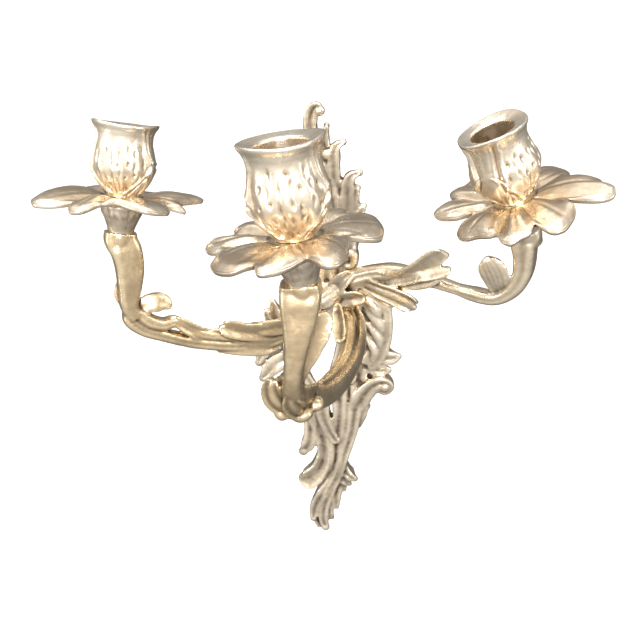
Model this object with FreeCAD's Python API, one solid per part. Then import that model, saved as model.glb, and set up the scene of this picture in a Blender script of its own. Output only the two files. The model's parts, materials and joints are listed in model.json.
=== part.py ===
"""Three-arm wall sconce for candles, cast in brass in the rococo manner.

The asymmetric leaf-work backplate hangs flat on the wall. Three scrolled arms are screwed to it from
behind. On each arm a threaded stud carries a calyx, a leafy drip pan and a tulip candle cup.

Millimetres. +X right, -Y out of the wall towards the room, +Z up. The origin lies on the wall plane,
midway between the two wall-screw holes.
"""
import FreeCAD
import Part
import math
import os

V = FreeCAD.Vector

# --- Wall fixing -------------------------------------------------------------------------------
WALL_HOLE_SPACING = 100.0
WALL_HOLE_R = 2.3
WALL_BOSS_R = 7.0
WALL_BOSS_T = 12.5

# --- Backplate ---------------------------------------------------------------------------------
SLAB_T = 5.0
SEAT_Y = -12.0            # front of the three arm seats
SEAT_R = 8.0
LEAF_FLAT = 0.45          # height of a leaf rib as a share of its width
LEAF_BASE_T = 3.5         # height every leaf rib has besides that share
LEAF_LIFT = 1.6           # how far the back of a leaf rib stands off the wall

# --- Arm fixing screws, from behind the backplate ------------------------------------------------
SCREW_R = 2.5
SCREW_HEAD_R = 4.25
SCREW_HEAD_T = 3.2
SCREW_REACH = 11.0        # thread inside the arm
SCREW_CLEAR_R = 2.8
WASHER_R = 5.0
WASHER_T = 1.0
RECESS_R = 5.4
RECESS_DEPTH = 5.5
SLOT_WIDTH = 1.0          # driver slot of a screw head
SLOT_DEPTH = 1.2
WASHER_CLEAR = 0.15       # radial room round the screw in its washer
PEG_R = 1.5               # cast peg that keeps an arm from turning on its seat
PEG_LENGTH = 3.0
PEG_OFFSET = 5.2
PEG_CLEAR = 0.3           # room past the peg's end

# --- Ends of the arms ------------------------------------------------------------------------------
COLLAR_TOP_R = 7.7        # round collar under the calyx
COLLAR_LOW_R = 6.2
COLLAR_T = 12.5
TOP_SECTION = (13.5, 14.0)
ROOT_SECTION = (13.0, 13.0)
ROOT_PAD_R = 6.6
ROOT_PAD_T = 15.0
ROOT_BEND = 11.0          # distance in front of the seat where the arm turns towards the wall

# --- Candle stack, measured down each stack's own axis from the cup's lip ------------------------
CUP_HEIGHT = 42.0
CANDLE_R = 11.75          # bore for a 22 to 23 mm candle
CANDLE_DEPTH = 30.0
PAN_T = 2.4
PAN_HUB_T = 4.0
CALYX_HEIGHT = 16.9
STUD_R = 3.0
STUD_IN_CUP = 8.0
STUD_IN_ARM = 10.0
RUNNING_FIT = 0.05        # radial play of cup and pan on the stud
AXIAL_PLAY = 0.05         # play between the faces that turn on each other
LOOSE_R = 0.25            # radial room round the stud in the calyx
THROUGH = 60.0            # length of a cutter that passes right through a piece

# Depth below the lip and outer radius of the tulip cup.
CUP_PROFILE = [(0.0, 18.5), (1.6, 18.7), (4.5, 17.2), (12.6, 16.4), (24.0, 18.6), (33.6, 15.3), (41.0, 9.5)]
# Distance below the pan and radius of the calyx.
CALYX_PROFILE = [(0.0, 12.7), (3.5, 12.3), (8.5, 10.3), (13.5, 8.4), (CALYX_HEIGHT, 7.7)]
# Radius and drop of the pan's upper face, from its hub outwards.
PAN_DOME = [(10.5, 0.0), (20.0, -2.0), (30.0, -2.2), (38.0, -1.0), (46.0, 1.5), (54.0, 5.0)]
PAN_OUTLINE_STEP = 5      # degrees between the points of a pan's outline

# --- The three branches ----------------------------------------------------------------------------
# lip: centre of the cup's lip; axis: the stack's lean; reach: lip to arm top along the axis;
# path: the arm's centre line from under the calyx to the root; sizes: its section at each path
# point, across the arm's plane and within it; seat: x and z of the root on the backplate;
# petals: the drip pan's outline as tips and notches, each a direction in degrees and a radius.
BRANCHES = {
    "left": {
        "lip": V(-98.9, -57.6, 155.2),
        "axis": V(0.259, 0.164, 0.952),
        "path": [(-116, -69, 84), (-117.5, -72, 70), (-120, -74, 56), (-121, -75, 44), (-117, -72, 34),
                 (-109, -66, 25), (-97, -58, 16.5), (-83, -50, 9), (-65, -42, 4), (-46, -34, 1),
                 (-30, -27, 0)],
        "sizes": [(11, 17), (9, 17), (9, 16), (10, 14), (11, 13), (11, 13), (11, 14), (12, 15), (12, 15),
                  (12, 14), (13, 14)],
        "seat": (-18.0, 0.0),
        "petals": [(4, 36), (14, 34), (29, 48), (37, 50), (46, 45), (64, 30), (90, 39), (114, 30),
                   (138, 41), (158, 31), (186, 42), (200, 47), (210, 49.5), (218, 48), (230, 31),
                   (247, 39), (262, 29), (285, 28), (308, 38), (322, 39.5), (345, 31)],
    },
    "centre": {
        "lip": V(5.1, -170.9, 151.8),
        "axis": V(0.018, -0.022, 1.0),
        "path": [(2, -171, 79), (-0.5, -173, 68), (-3.5, -175, 57), (-6.5, -176, 46), (-9.5, -172, 34.5),
                 (-9.5, -162, 23.5), (-5, -145, 14), (1.5, -115, 2.5), (8, -85, -2.5), (13, -56, -2),
                 (13, -34, 2)],
        "sizes": [(15, 11), (16.5, 10), (14.5, 9), (12.5, 9), (11, 10), (13, 12), (14, 14), (13, 14),
                  (13, 14), (13, 14), (13, 13)],
        "seat": (9.0, 4.0),
        "petals": [(12, 38.5), (24, 40), (34, 40), (49, 32), (66, 38.5), (86, 29), (108, 41), (128, 33),
                   (148, 36), (158, 31.5), (177, 41), (192, 31.5), (215, 40), (230, 42.5), (239, 41),
                   (248, 35), (256, 40.5), (272, 34.5), (286, 30), (299, 39), (320, 31), (344, 24.5)],
    },
    "right": {
        "lip": V(100.9, -86.4, 128.8),
        "axis": V(-0.282, -0.138, 0.949),
        "path": [(119, -78, 62), (118.5, -78, 52), (115.5, -77, 42), (109, -75, 33), (99, -71.5, 28),
                 (87.5, -66.5, 28), (75.5, -61, 31.5), (61, -54, 35.5), (46, -46, 37), (30, -37, 35.5),
                 (12.5, -29, 27)],
        "sizes": [(11, 15), (10, 14), (10, 13), (10, 12), (11, 12), (11, 12), (11, 12), (11, 13), (12, 14),
                  (12, 14), (13, 14)],
        "seat": (-5.0, 17.0),
        "petals": [(18, 33), (46, 38), (70, 29), (98, 40), (112, 43), (119, 40), (132, 45), (144, 38),
                   (156, 48), (163, 44), (176, 25), (196, 37), (219, 34), (241, 34.5), (252, 42),
                   (266, 39.5), (274, 35), (286, 45), (304, 39.5), (315, 32), (326, 50), (335, 47),
                   (345, 39), (356, 30)],
    },
}

# Leaves cast on the arms: centre line from the arm outwards, widths and the thickness.
ARM_LEAVES = {
    "left": [
        ([(-113, -69, 34), (-104, -63, 36), (-97, -59, 40), (-93, -57, 46)], [8, 11, 9, 3], 3.0),
        ([(-88, -53, 10), (-75, -46, 10), (-64, -42, 12), (-57, -40, 15)], [8, 13, 11, 4], 3.5),
        ([(-72, -45, 3), (-52, -36, -3), (-36, -29, -7), (-27, -25, -9)], [8, 14, 12, 4], 3.5),
    ],
    "centre": [
        ([(-8, -168, 34), (-1, -166, 43), (5, -165, 54), (8, -165, 65)], [8, 12, 11, 4], 3.5),
        ([(-9, -160, 22), (-15, -165, 26), (-19, -168, 32), (-20, -169, 40)], [9, 13, 11, 5], 3.5),
        ([(-7, -160, 20), (-11, -167, 18), (-14, -171, 19), (-16, -174, 22)], [9, 12, 10, 4], 3.5),
    ],
    "right": [
        ([(112, -76, 34), (105, -73, 42), (102, -72, 51), (103, -72, 60)], [8, 12, 12, 4], 3.0),
        ([(84, -65, 30), (74, -60, 40), (66, -56, 49), (60, -54, 56)], [8, 12, 10, 4], 3.0),
        ([(70, -58, 32), (60, -54, 26), (50, -49, 20), (44, -46, 14)], [8, 12, 10, 4], 3.0),
        ([(20, -33, 32), (34, -39, 44), (48, -45, 50), (58, -50, 51)], [9, 12, 10, 4], 3.5),
    ],
}

# Outline of the flat slab that ties the backplate's leaves together, as x and z.
SLAB_OUTLINE = [(2, 128), (10, 112), (14, 90), (18, 65), (16, 40), (24, 14), (31, -5), (30, -28), (20, -48),
                (8, -62), (0, -88), (-8, -112), (-18, -138), (-30, -165), (-38, -184), (-44, -178),
                (-44, -160), (-34, -140), (-26, -116), (-34, -95), (-36, -76), (-50, -60), (-56, -35),
                (-49, -14), (-42, 4), (-28, 10), (-22, 28), (-21, 60), (-16, 90), (-8, 115)]
# Slanting gap between the two scrolls below the arm seats.
GAP_OUTLINE = [(-4, -6), (-5, -14), (-11, -25), (-17, -35), (-21, -46), (-25, -50), (-27, -45), (-24, -32),
               (-18, -19), (-9, -7)]

# Ribs of the backplate: centre line as x and z from root to tip, widths along it, and how far the
# tip curls away from the wall.
PLATE_LEAVES = [
    # upper plume: stem, right-hand tips, left-hand tips
    ([(-1, 29), (-3, 60), (-3, 95), (0, 122), (4, 138), (8, 141)], [14, 14, 12, 9, 7, 5], 3),
    ([(2, 104), (6, 119), (11, 129)], [6, 5, 3], 2),
    ([(7, 80), (11, 103), (15, 116), (19.5, 118.5)], [9, 7, 5, 3], 3),
    ([(13, 55), (17, 80), (21, 95), (27, 98.5)], [9, 8, 6, 4], 3),
    ([(18, 62), (21, 78), (25, 88)], [6, 5, 3], 2),
    ([(18, 42), (22, 64), (27.5, 75)], [8, 6, 4], 3),
    ([(-9, 90), (-13, 108), (-18, 116)], [9, 7, 3], 3),
    ([(-14, 62), (-20, 82), (-26, 90)], [9, 7, 3], 3),
    ([(-17, 34), (-24, 54), (-31, 62)], [10, 8, 4], 3),
    # right-hand scroll and its leaves
    ([(14, 22), (24, 11), (31, -4), (32, -20), (26, -34), (16, -45)], [9, 11, 9, 9, 9, 7], 0),
    ([(22, 12), (29, 10), (35, 7)], [8, 6, 3], 3),
    ([(24, -34), (31, -37), (38, -38)], [8, 6, 4], 3),
    ([(16, -44), (24, -47), (30, -49)], [8, 6, 4], 2),
    ([(6, -54), (16, -57), (25, -58), (27.5, -62)], [10, 9, 8, 5], 4),
    ([(-2, -92), (4, -86), (10, -79.5)], [7, 6, 4], 3),
    # left-hand scroll, its wing and lower leaves
    ([(-14, 14), (-27, 3), (-35, -18), (-34, -40), (-27, -58)], [11, 13, 13, 12, 10], 0),
    ([(-38, -20), (-43, -2), (-44.5, 14)], [11, 11, 8], 3),
    ([(-45, -22), (-49.5, -5), (-51, 8)], [8, 7, 5], 2),
    ([(-44, -16), (-55, -22), (-64, -33)], [11, 10, 5], 4),
    ([(-42, -36), (-54, -41), (-63, -46)], [11, 9, 5], 4),
    ([(-38, -50), (-52, -62), (-58.5, -75)], [12, 11, 6], 4),
    # band beside the gap, then the tail's stems and curls
    ([(1, -8), (0, -22), (-5, -40), (-12, -58)], [10, 11, 12, 11], 0),
    ([(13, -45), (6, -64), (0, -85), (-6, -106), (-14, -127), (-23, -145), (-34, -163), (-41, -180),
      (-36, -192)],
     [12, 12, 10, 9, 9, 9, 10, 9, 7], 2),
    ([(-14, -60), (-13, -88), (-18, -110), (-27, -130), (-37, -148), (-45, -163), (-48, -174)],
     [11, 10, 10, 10, 11, 9, 5], 1),
    ([(-26, -58), (-24, -84), (-23, -104), (-29, -122), (-40, -136),
      (-51, -139.5)], [11, 10, 10, 12, 15, 11], 4),
    ([(-33, -64), (-32, -86), (-34, -101), (-42, -112)], [9, 8, 11, 12], 4),
    ([(-20, -136), (-12, -142), (-7.5, -144.5)], [8, 8, 5], 3),
    ([(-22, -144), (-24, -160), (-25, -171)], [8, 7, 4], 2),
    ([(-32, -158), (-33, -172), (-31, -182)], [7, 7, 5], 2),
]

SECTION_POINTS = 8


def unit(v):
    return v * (1.0 / v.Length)


def ring(centre, along, across, size):
    """Closed oval section: size is its width across and its width within the plane of the curve."""
    side = unit(across - along * across.dot(along))
    out = along.cross(side)
    points = []
    for i in range(SECTION_POINTS):
        a = 2 * math.pi * i / SECTION_POINTS
        points.append(centre + side * (math.cos(a) * size[0] / 2) + out * (math.sin(a) * size[1] / 2))
    curve = Part.BSplineCurve()
    curve.interpolate(points, PeriodicFlag=True)
    return Part.Wire([curve.toShape()])


def tapered_rod(points, sizes, across):
    """Solid through oval sections at the points, each square to the curve."""
    rings = []
    last = len(points) - 1
    for i, point in enumerate(points):
        along = unit(points[min(i + 1, last)] - points[max(i - 1, 0)])
        rings.append(ring(point, along, across, sizes[i]))
    return Part.makeLoft(rings, True, False)


def joined(pieces):
    """One solid of overlapping pieces, added one at a time."""
    whole = pieces[0]
    for piece in pieces[1:]:
        whole = whole.fuse(piece)
    return whole


def cylinder(radius, length, start, direction):
    return Part.makeCylinder(radius, length, start, direction)


def revolved(profile):
    """Solid of revolution about Z: the profile is a list of edges in the XZ plane, closed on the axis."""
    face = Part.Face(Part.Wire(profile))
    return face.revolve(V(0, 0, 0), V(0, 0, 1), 360)


def curve_through(points):
    curve = Part.BSplineCurve()
    curve.interpolate(points)
    return curve.toShape()


def turned_body(profile, top, bottom):
    """Turned piece whose outside follows (depth, radius), flat at its top and bottom depths."""
    outside = [V(radius, 0, -depth) for depth, radius in profile]
    low = V(outside[-1].x, 0, -bottom)
    edges = [Part.makeLine(V(0, 0, -top), outside[0]), curve_through(outside)]
    if bottom > profile[-1][0]:
        edges.append(Part.makeLine(outside[-1], low))
    edges.append(Part.makeLine(low, V(0, 0, -bottom)))
    edges.append(Part.makeLine(V(0, 0, -bottom), V(0, 0, -top)))
    return revolved(edges)


def place(shape, branch, depth=0.0):
    """Move a piece made about Z to a branch's stack, its own zero at the depth below the lip."""
    axis = unit(branch["axis"])
    moved = shape.copy()
    turn = FreeCAD.Rotation(V(0, 0, 1), axis)
    moved.Placement = FreeCAD.Placement(branch["lip"] - axis * depth, turn).multiply(shape.Placement)
    return moved


# --- Pieces of the candle stack ---------------------------------------------------------------------

PAN_TOP = CUP_HEIGHT + AXIAL_PLAY
CALYX_TOP = PAN_TOP + PAN_HUB_T + AXIAL_PLAY
ARM_TOP = CALYX_TOP + CALYX_HEIGHT


def make_cup():
    cup = turned_body(CUP_PROFILE, 0.0, CUP_HEIGHT)
    cup = cup.cut(cylinder(CANDLE_R, CANDLE_DEPTH, V(0, 0, 0), V(0, 0, -1)))
    stud_hole = cylinder(STUD_R + RUNNING_FIT, STUD_IN_CUP + 1, V(0, 0, -CUP_HEIGHT), V(0, 0, 1))
    return cup.cut(stud_hole)


def radius_at(petals, degrees):
    """Outline radius in a direction, eased between the tips and notches on either side of it."""
    for i, (start, radius) in enumerate(petals):
        end, next_radius = petals[(i + 1) % len(petals)]
        gap = (end - start) % 360
        past = (degrees - start) % 360
        if past < gap:
            ease = 0.5 - 0.5 * math.cos(math.pi * past / gap)
            return radius + (next_radius - radius) * ease


def pan_outline(petals):
    """Petalled outline as a closed curve about Z."""
    points = []
    for degrees in range(0, 360, PAN_OUTLINE_STEP):
        a = math.radians(degrees)
        points.append(V(math.cos(a), math.sin(a), 0) * radius_at(petals, degrees))
    curve = Part.BSplineCurve()
    curve.interpolate(points, PeriodicFlag=True)
    return Part.Wire([curve.toShape()])


def make_pan(petals):
    hub_r = PAN_DOME[0][0]
    upper = [V(r, 0, -drop) for r, drop in PAN_DOME]
    lower = [V(r, 0, -drop - PAN_T) for r, drop in PAN_DOME]
    hub_low = V(hub_r, 0, -PAN_HUB_T)
    edges = [
        Part.makeLine(V(0, 0, 0), upper[0]),
        curve_through(upper),
        Part.makeLine(upper[-1], lower[-1]),
        curve_through(lower[::-1]),
        Part.makeLine(lower[0], hub_low),
        Part.makeLine(hub_low, V(0, 0, -PAN_HUB_T)),
        Part.makeLine(V(0, 0, -PAN_HUB_T), V(0, 0, 0)),
    ]
    cutter = Part.Face(pan_outline(petals)).extrude(V(0, 0, THROUGH))
    cutter.translate(V(0, 0, -THROUGH / 2))
    pan = revolved(edges).common(cutter)
    return pan.cut(cylinder(STUD_R + RUNNING_FIT, THROUGH, V(0, 0, -THROUGH / 2), V(0, 0, 1)))


def make_calyx():
    calyx = turned_body(CALYX_PROFILE, 0.0, CALYX_HEIGHT)
    return calyx.cut(cylinder(STUD_R + LOOSE_R, THROUGH, V(0, 0, -THROUGH / 2), V(0, 0, 1)))


def make_stud():
    length = STUD_IN_ARM + CALYX_HEIGHT + PAN_HUB_T + 2 * AXIAL_PLAY + STUD_IN_CUP
    return cylinder(STUD_R, length, V(0, 0, -length), V(0, 0, 1))


# --- Arms -----------------------------------------------------------------------------------------

def seat_centre(branch):
    return V(branch["seat"][0], SEAT_Y, branch["seat"][1])


def make_arm(name, branch):
    axis = unit(branch["axis"])
    top = branch["lip"] - axis * ARM_TOP
    seat = seat_centre(branch)
    across = unit(V(0, 0, 1).cross(seat - V(top.x, top.y, seat.z)))
    root = seat + V(0, -ROOT_BEND, 0)
    points = [top - axis * 2] + [V(*p) for p in branch["path"]] + [root]
    sizes = [TOP_SECTION] + branch["sizes"] + [ROOT_SECTION]
    pieces = [tapered_rod(points, sizes, across)]
    pieces.append(Part.makeCone(COLLAR_TOP_R, COLLAR_LOW_R, COLLAR_T, top, axis * -1))
    pieces.append(cylinder(ROOT_PAD_R, ROOT_PAD_T, seat, V(0, -1, 0)))
    pieces.append(cylinder(PEG_R, 2 * PEG_LENGTH, seat + V(0, PEG_LENGTH, -PEG_OFFSET), V(0, -1, 0)))
    for line, widths, thickness in ARM_LEAVES[name]:
        leaf_sizes = [(width, thickness) for width in widths]
        pieces.append(tapered_rod([V(*p) for p in line], leaf_sizes, across))
    arm = joined(pieces)
    arm = arm.cut(cylinder(2 * COLLAR_TOP_R, COLLAR_T, top, axis))
    arm = arm.cut(cylinder(STUD_R, STUD_IN_ARM, top, axis * -1))
    arm = arm.cut(cylinder(SCREW_R, SCREW_REACH + 1, seat, V(0, -1, 0)))
    behind_seat = Part.makeBox(THROUGH, THROUGH, THROUGH, seat + V(-THROUGH / 2, PEG_LENGTH, -THROUGH / 2))
    return arm.cut(behind_seat)


# --- Backplate --------------------------------------------------------------------------------------

def flat_prism(outline, front, back):
    """Straight prism between two depths on a closed smooth outline given as x and z."""
    curve = Part.BSplineCurve()
    curve.interpolate([V(x, back, z) for x, z in outline], PeriodicFlag=True)
    return Part.Face(Part.Wire([curve.toShape()])).extrude(V(0, front - back, 0))


def plate_leaf(line, widths, curl):
    """Rib that lies on the slab and lifts off it by curl at its tip."""
    points = []
    sizes = []
    last = len(line) - 1
    for i, (x, z) in enumerate(line):
        height = LEAF_FLAT * widths[i] + LEAF_BASE_T
        lift = curl * (i / last) ** 3
        points.append(V(x, -height / 2 - LEAF_LIFT - lift, z))
        sizes.append((widths[i], height))
    return tapered_rod(points, sizes, V(0, 1, 0).cross(points[-1] - points[0]))


def make_backplate():
    pieces = [flat_prism(SLAB_OUTLINE, -SLAB_T, 0.0)]
    for line, widths, curl in PLATE_LEAVES:
        pieces.append(plate_leaf(line, widths, curl))
    plate = joined(pieces)
    plate = plate.cut(flat_prism(GAP_OUTLINE, -THROUGH / 2, THROUGH / 2))
    for branch in BRANCHES.values():
        seat = seat_centre(branch)
        plate = plate.fuse(cylinder(SEAT_R, -SEAT_Y, seat, V(0, 1, 0)))
    for z in (-WALL_HOLE_SPACING / 2, WALL_HOLE_SPACING / 2):
        plate = plate.fuse(cylinder(WALL_BOSS_R, WALL_BOSS_T, V(0, 0, z), V(0, -1, 0)))
        plate = plate.cut(cylinder(WALL_HOLE_R, THROUGH, V(0, THROUGH / 2, z), V(0, -1, 0)))
    for branch in BRANCHES.values():
        seat = seat_centre(branch)
        behind = V(seat.x, 1, seat.z)
        plate = plate.cut(cylinder(RECESS_R, RECESS_DEPTH + 1, behind, V(0, -1, 0)))
        plate = plate.cut(cylinder(SCREW_CLEAR_R, THROUGH, behind, V(0, -1, 0)))
        peg = seat + V(0, PEG_LENGTH + PEG_CLEAR, -PEG_OFFSET)
        plate = plate.cut(cylinder(PEG_R, 2 * PEG_LENGTH, peg, V(0, -1, 0)))
    return plate


def make_arm_screw(branch):
    seat = seat_centre(branch)
    under_head = V(seat.x, -RECESS_DEPTH + WASHER_T, seat.z)
    head = cylinder(SCREW_HEAD_R, SCREW_HEAD_T, under_head, V(0, 1, 0))
    shank = cylinder(SCREW_R, under_head.y - SEAT_Y + SCREW_REACH, under_head, V(0, -1, 0))
    slot_bottom = under_head.y + SCREW_HEAD_T - SLOT_DEPTH
    slot_corner = V(seat.x - 2 * SCREW_HEAD_R, slot_bottom, seat.z - SLOT_WIDTH / 2)
    slot = Part.makeBox(4 * SCREW_HEAD_R, 2 * SLOT_DEPTH, SLOT_WIDTH, slot_corner)
    return head.fuse(shank).cut(slot).removeSplitter()


def make_washer(branch):
    seat = seat_centre(branch)
    back = V(seat.x, -RECESS_DEPTH + WASHER_T, seat.z)
    disc = cylinder(WASHER_R, WASHER_T, back, V(0, -1, 0))
    return disc.cut(cylinder(SCREW_R + WASHER_CLEAR, 3 * WASHER_T, back + V(0, WASHER_T, 0), V(0, -1, 0)))


def build():
    parts = {"backplate": make_backplate()}
    for name, branch in BRANCHES.items():
        parts[name + "_arm"] = make_arm(name, branch)
        parts[name + "_arm_screw"] = make_arm_screw(branch)
        parts[name + "_arm_washer"] = make_washer(branch)
        parts[name + "_calyx"] = place(make_calyx(), branch, CALYX_TOP)
        parts[name + "_drip_pan"] = place(make_pan(branch["petals"]), branch, PAN_TOP)
        parts[name + "_candle_cup"] = place(make_cup(), branch)
        parts[name + "_stud"] = place(make_stud(), branch, CUP_HEIGHT - STUD_IN_CUP)
    return parts


os.makedirs("parts", exist_ok=True)
for node, shape in build().items():
    print(f"{node:18s} solids {len(shape.Solids)} valid {shape.isValid()} {shape.Volume / 1000:8.2f} cm3")
    shape.exportStep("parts/" + node + ".step")
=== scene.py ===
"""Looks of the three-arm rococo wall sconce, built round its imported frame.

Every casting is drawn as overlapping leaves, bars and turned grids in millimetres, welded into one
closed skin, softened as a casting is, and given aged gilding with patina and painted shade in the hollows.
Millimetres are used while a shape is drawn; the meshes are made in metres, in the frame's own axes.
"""

import json
import math

import bmesh
import bpy
import numpy as np
from mathutils import Matrix, Vector, noise


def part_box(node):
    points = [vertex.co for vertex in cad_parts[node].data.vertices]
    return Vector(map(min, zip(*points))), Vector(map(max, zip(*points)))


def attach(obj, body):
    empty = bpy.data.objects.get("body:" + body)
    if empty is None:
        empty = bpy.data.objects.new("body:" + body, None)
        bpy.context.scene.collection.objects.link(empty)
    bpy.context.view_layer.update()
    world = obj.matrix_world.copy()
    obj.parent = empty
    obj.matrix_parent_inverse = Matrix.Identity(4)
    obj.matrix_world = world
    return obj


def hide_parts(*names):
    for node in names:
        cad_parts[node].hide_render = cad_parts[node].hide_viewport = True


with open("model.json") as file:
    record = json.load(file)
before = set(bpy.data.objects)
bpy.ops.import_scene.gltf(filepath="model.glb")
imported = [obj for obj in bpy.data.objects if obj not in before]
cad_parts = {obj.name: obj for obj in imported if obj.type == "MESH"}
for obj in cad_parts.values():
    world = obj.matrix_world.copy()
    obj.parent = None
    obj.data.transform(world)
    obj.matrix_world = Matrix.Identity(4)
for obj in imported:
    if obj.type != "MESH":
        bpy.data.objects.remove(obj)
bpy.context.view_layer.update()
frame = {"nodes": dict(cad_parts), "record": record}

MM = 0.001
OUT = np.array([0.0, -1.0, 0.0])       # away from the wall
UP = np.array([0.0, 0.0, 1.0])


# --- Frame ------------------------------------------------------------------------------------------

def unit(v):
    v = np.asarray(v, float)
    return v / np.linalg.norm(v)


def middle(node):
    """Centre of a CAD node's box, in millimetres."""
    low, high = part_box(node)
    return (np.array(low) + np.array(high)) / 2 / MM


def mount(name):
    return next(m for m in frame["record"]["mounts"] if m["name"] == name)


SEAT_Y = -12.0                     # where the arms meet the plate

# The candle stack: heights of its pieces, and how far below the cup's lip each one starts.
CUP_HEIGHT = 42.0
PAN_HUB_T = 4.0
CALYX_HEIGHT = 16.9
PLAY = 0.05
PAN_TOP = CUP_HEIGHT + PLAY
CALYX_TOP = PAN_TOP + PAN_HUB_T + PLAY
ARM_TOP = CALYX_TOP + CALYX_HEIGHT


class Branch:
    """One arm with its candle stack, read from the frame: lip, axis and the two directions across it."""

    def __init__(self, name):
        self.name = name
        bore = mount(name + "_candle")
        self.axis = unit(bore["axis"])
        depth = bore["dims"]["length_mm"]
        self.bore_r = bore["dims"]["r_mm"]
        self.bore_depth = depth
        self.lip = np.array(bore["pos_m"]) / MM + self.axis * depth / 2
        screw = middle(name + "_arm_screw")
        self.seat = np.array([screw[0], SEAT_Y, screw[2]])
        turn = Vector((0, 0, 1)).rotation_difference(Vector(self.axis))
        self.x = np.array(turn @ Vector((1, 0, 0)))
        self.y = np.array(turn @ Vector((0, 1, 0)))
        self.arm_top = self.lip - self.axis * ARM_TOP
        reach = self.arm_top - self.seat
        self.reach = unit([reach[0], reach[1], 0.0])
        self.side = np.cross(UP, self.reach)      # across the arm's plane
        if self.side[1] > 0 and name != "centre":
            self.side = -self.side

    def in_plane(self, s, z, off=0.0):
        """Point s along the arm from its seat, at height z, and off towards the viewer's side."""
        return np.array([self.seat[0], self.seat[1], 0.0]) + self.reach * s + UP * z + self.side * off

    def on_stack(self, radius, angle, depth):
        return (self.lip + self.x * radius * math.cos(angle) + self.y * radius * math.sin(angle)
                - self.axis * depth)

    def rings(self, angles, rows):
        """Rings round the stack from rows of radius and depth, each one number or one for each angle."""
        full = np.ones(len(angles))
        return np.array([[self.on_stack(*place) for place in zip(full * radius, angles, full * depth)]
                         for radius, depth in rows])


# --- Drawing tools ----------------------------------------------------------------------------------

def smooth(rows, at):
    """Catmull-Rom through rows of numbers, read at the places given as shares of the whole."""
    p = np.array(rows, float)
    if p.ndim == 1:
        p = p[:, None]
    p = np.vstack([2 * p[0] - p[1], p, 2 * p[-1] - p[-2]])
    spans = len(p) - 3
    t = np.clip(np.asarray(at, float), 0, 1) * spans
    i = np.minimum(t.astype(int), spans - 1)
    f = (t - i)[..., None]
    a, b, c, d = p[i], p[i + 1], p[i + 2], p[i + 3]
    return 0.5 * (2 * b + (c - a) * f + (2 * a - 5 * b + 4 * c - d) * f ** 2
                  + (3 * b - a - 3 * c + d) * f ** 3)


def closed_shell(face, back):
    """Vertices and faces of the closed body between two equal grids of points."""
    rows, cols = face.shape[:2]
    verts = np.concatenate([face.reshape(-1, 3), back.reshape(-1, 3)])
    behind = rows * cols
    grid = np.arange(rows * cols).reshape(rows, cols)
    a, b = grid[:-1, :-1].ravel(), grid[:-1, 1:].ravel()
    c, d = grid[1:, 1:].ravel(), grid[1:, :-1].ravel()
    faces = [np.stack([a, b, c, d], 1), np.stack([d, c, b, a], 1) + behind]
    rim = np.concatenate([grid[0, :-1], grid[:-1, -1], grid[-1, :0:-1], grid[:0:-1, 0]])
    after = np.roll(rim, -1)
    faces.append(np.stack([after, rim, rim + behind, after + behind], 1))
    return verts, np.concatenate(faces)


def ring_shell(rings):
    """Closed body through closed rings of points, with its two ends capped by fans."""
    count, around = rings.shape[:2]
    verts = rings.reshape(-1, 3)
    grid = np.arange(count * around).reshape(count, around)
    nxt = np.roll(grid, -1, axis=1)
    quads = np.stack([grid[:-1].ravel(), nxt[:-1].ravel(), nxt[1:].ravel(), grid[1:].ravel()], 1)
    ends = np.array([rings[0].mean(0), rings[-1].mean(0)])
    first, last = len(verts), len(verts) + 1
    verts = np.concatenate([verts, ends])
    low = np.stack([nxt[0], grid[0], np.full(around, first), np.full(around, first)], 1)
    high = np.stack([grid[-1], nxt[-1], np.full(around, last), np.full(around, last)], 1)
    return verts, np.concatenate([quads, low, high])


def frames_along(line, face):
    """Face normal and side direction at each point of a line."""
    tangent = np.gradient(line, axis=0)
    tangent /= np.linalg.norm(tangent, axis=1, keepdims=True)
    normal = face - tangent * np.sum(face * tangent, axis=1, keepdims=True)
    normal /= np.linalg.norm(normal, axis=1, keepdims=True)
    return normal, np.cross(tangent, normal)


def faces_along(face, at):
    """The way a face looks at each place: one way, or turning from one way to another."""
    looks = np.atleast_2d(face)
    return looks[0] + (looks[-1] - looks[0]) * at[:, None]


def shares_along(value, at):
    """One number, or several spread along a line, read at each place."""
    return smooth(value if np.size(value) > 1 else [value, value], at)


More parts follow.
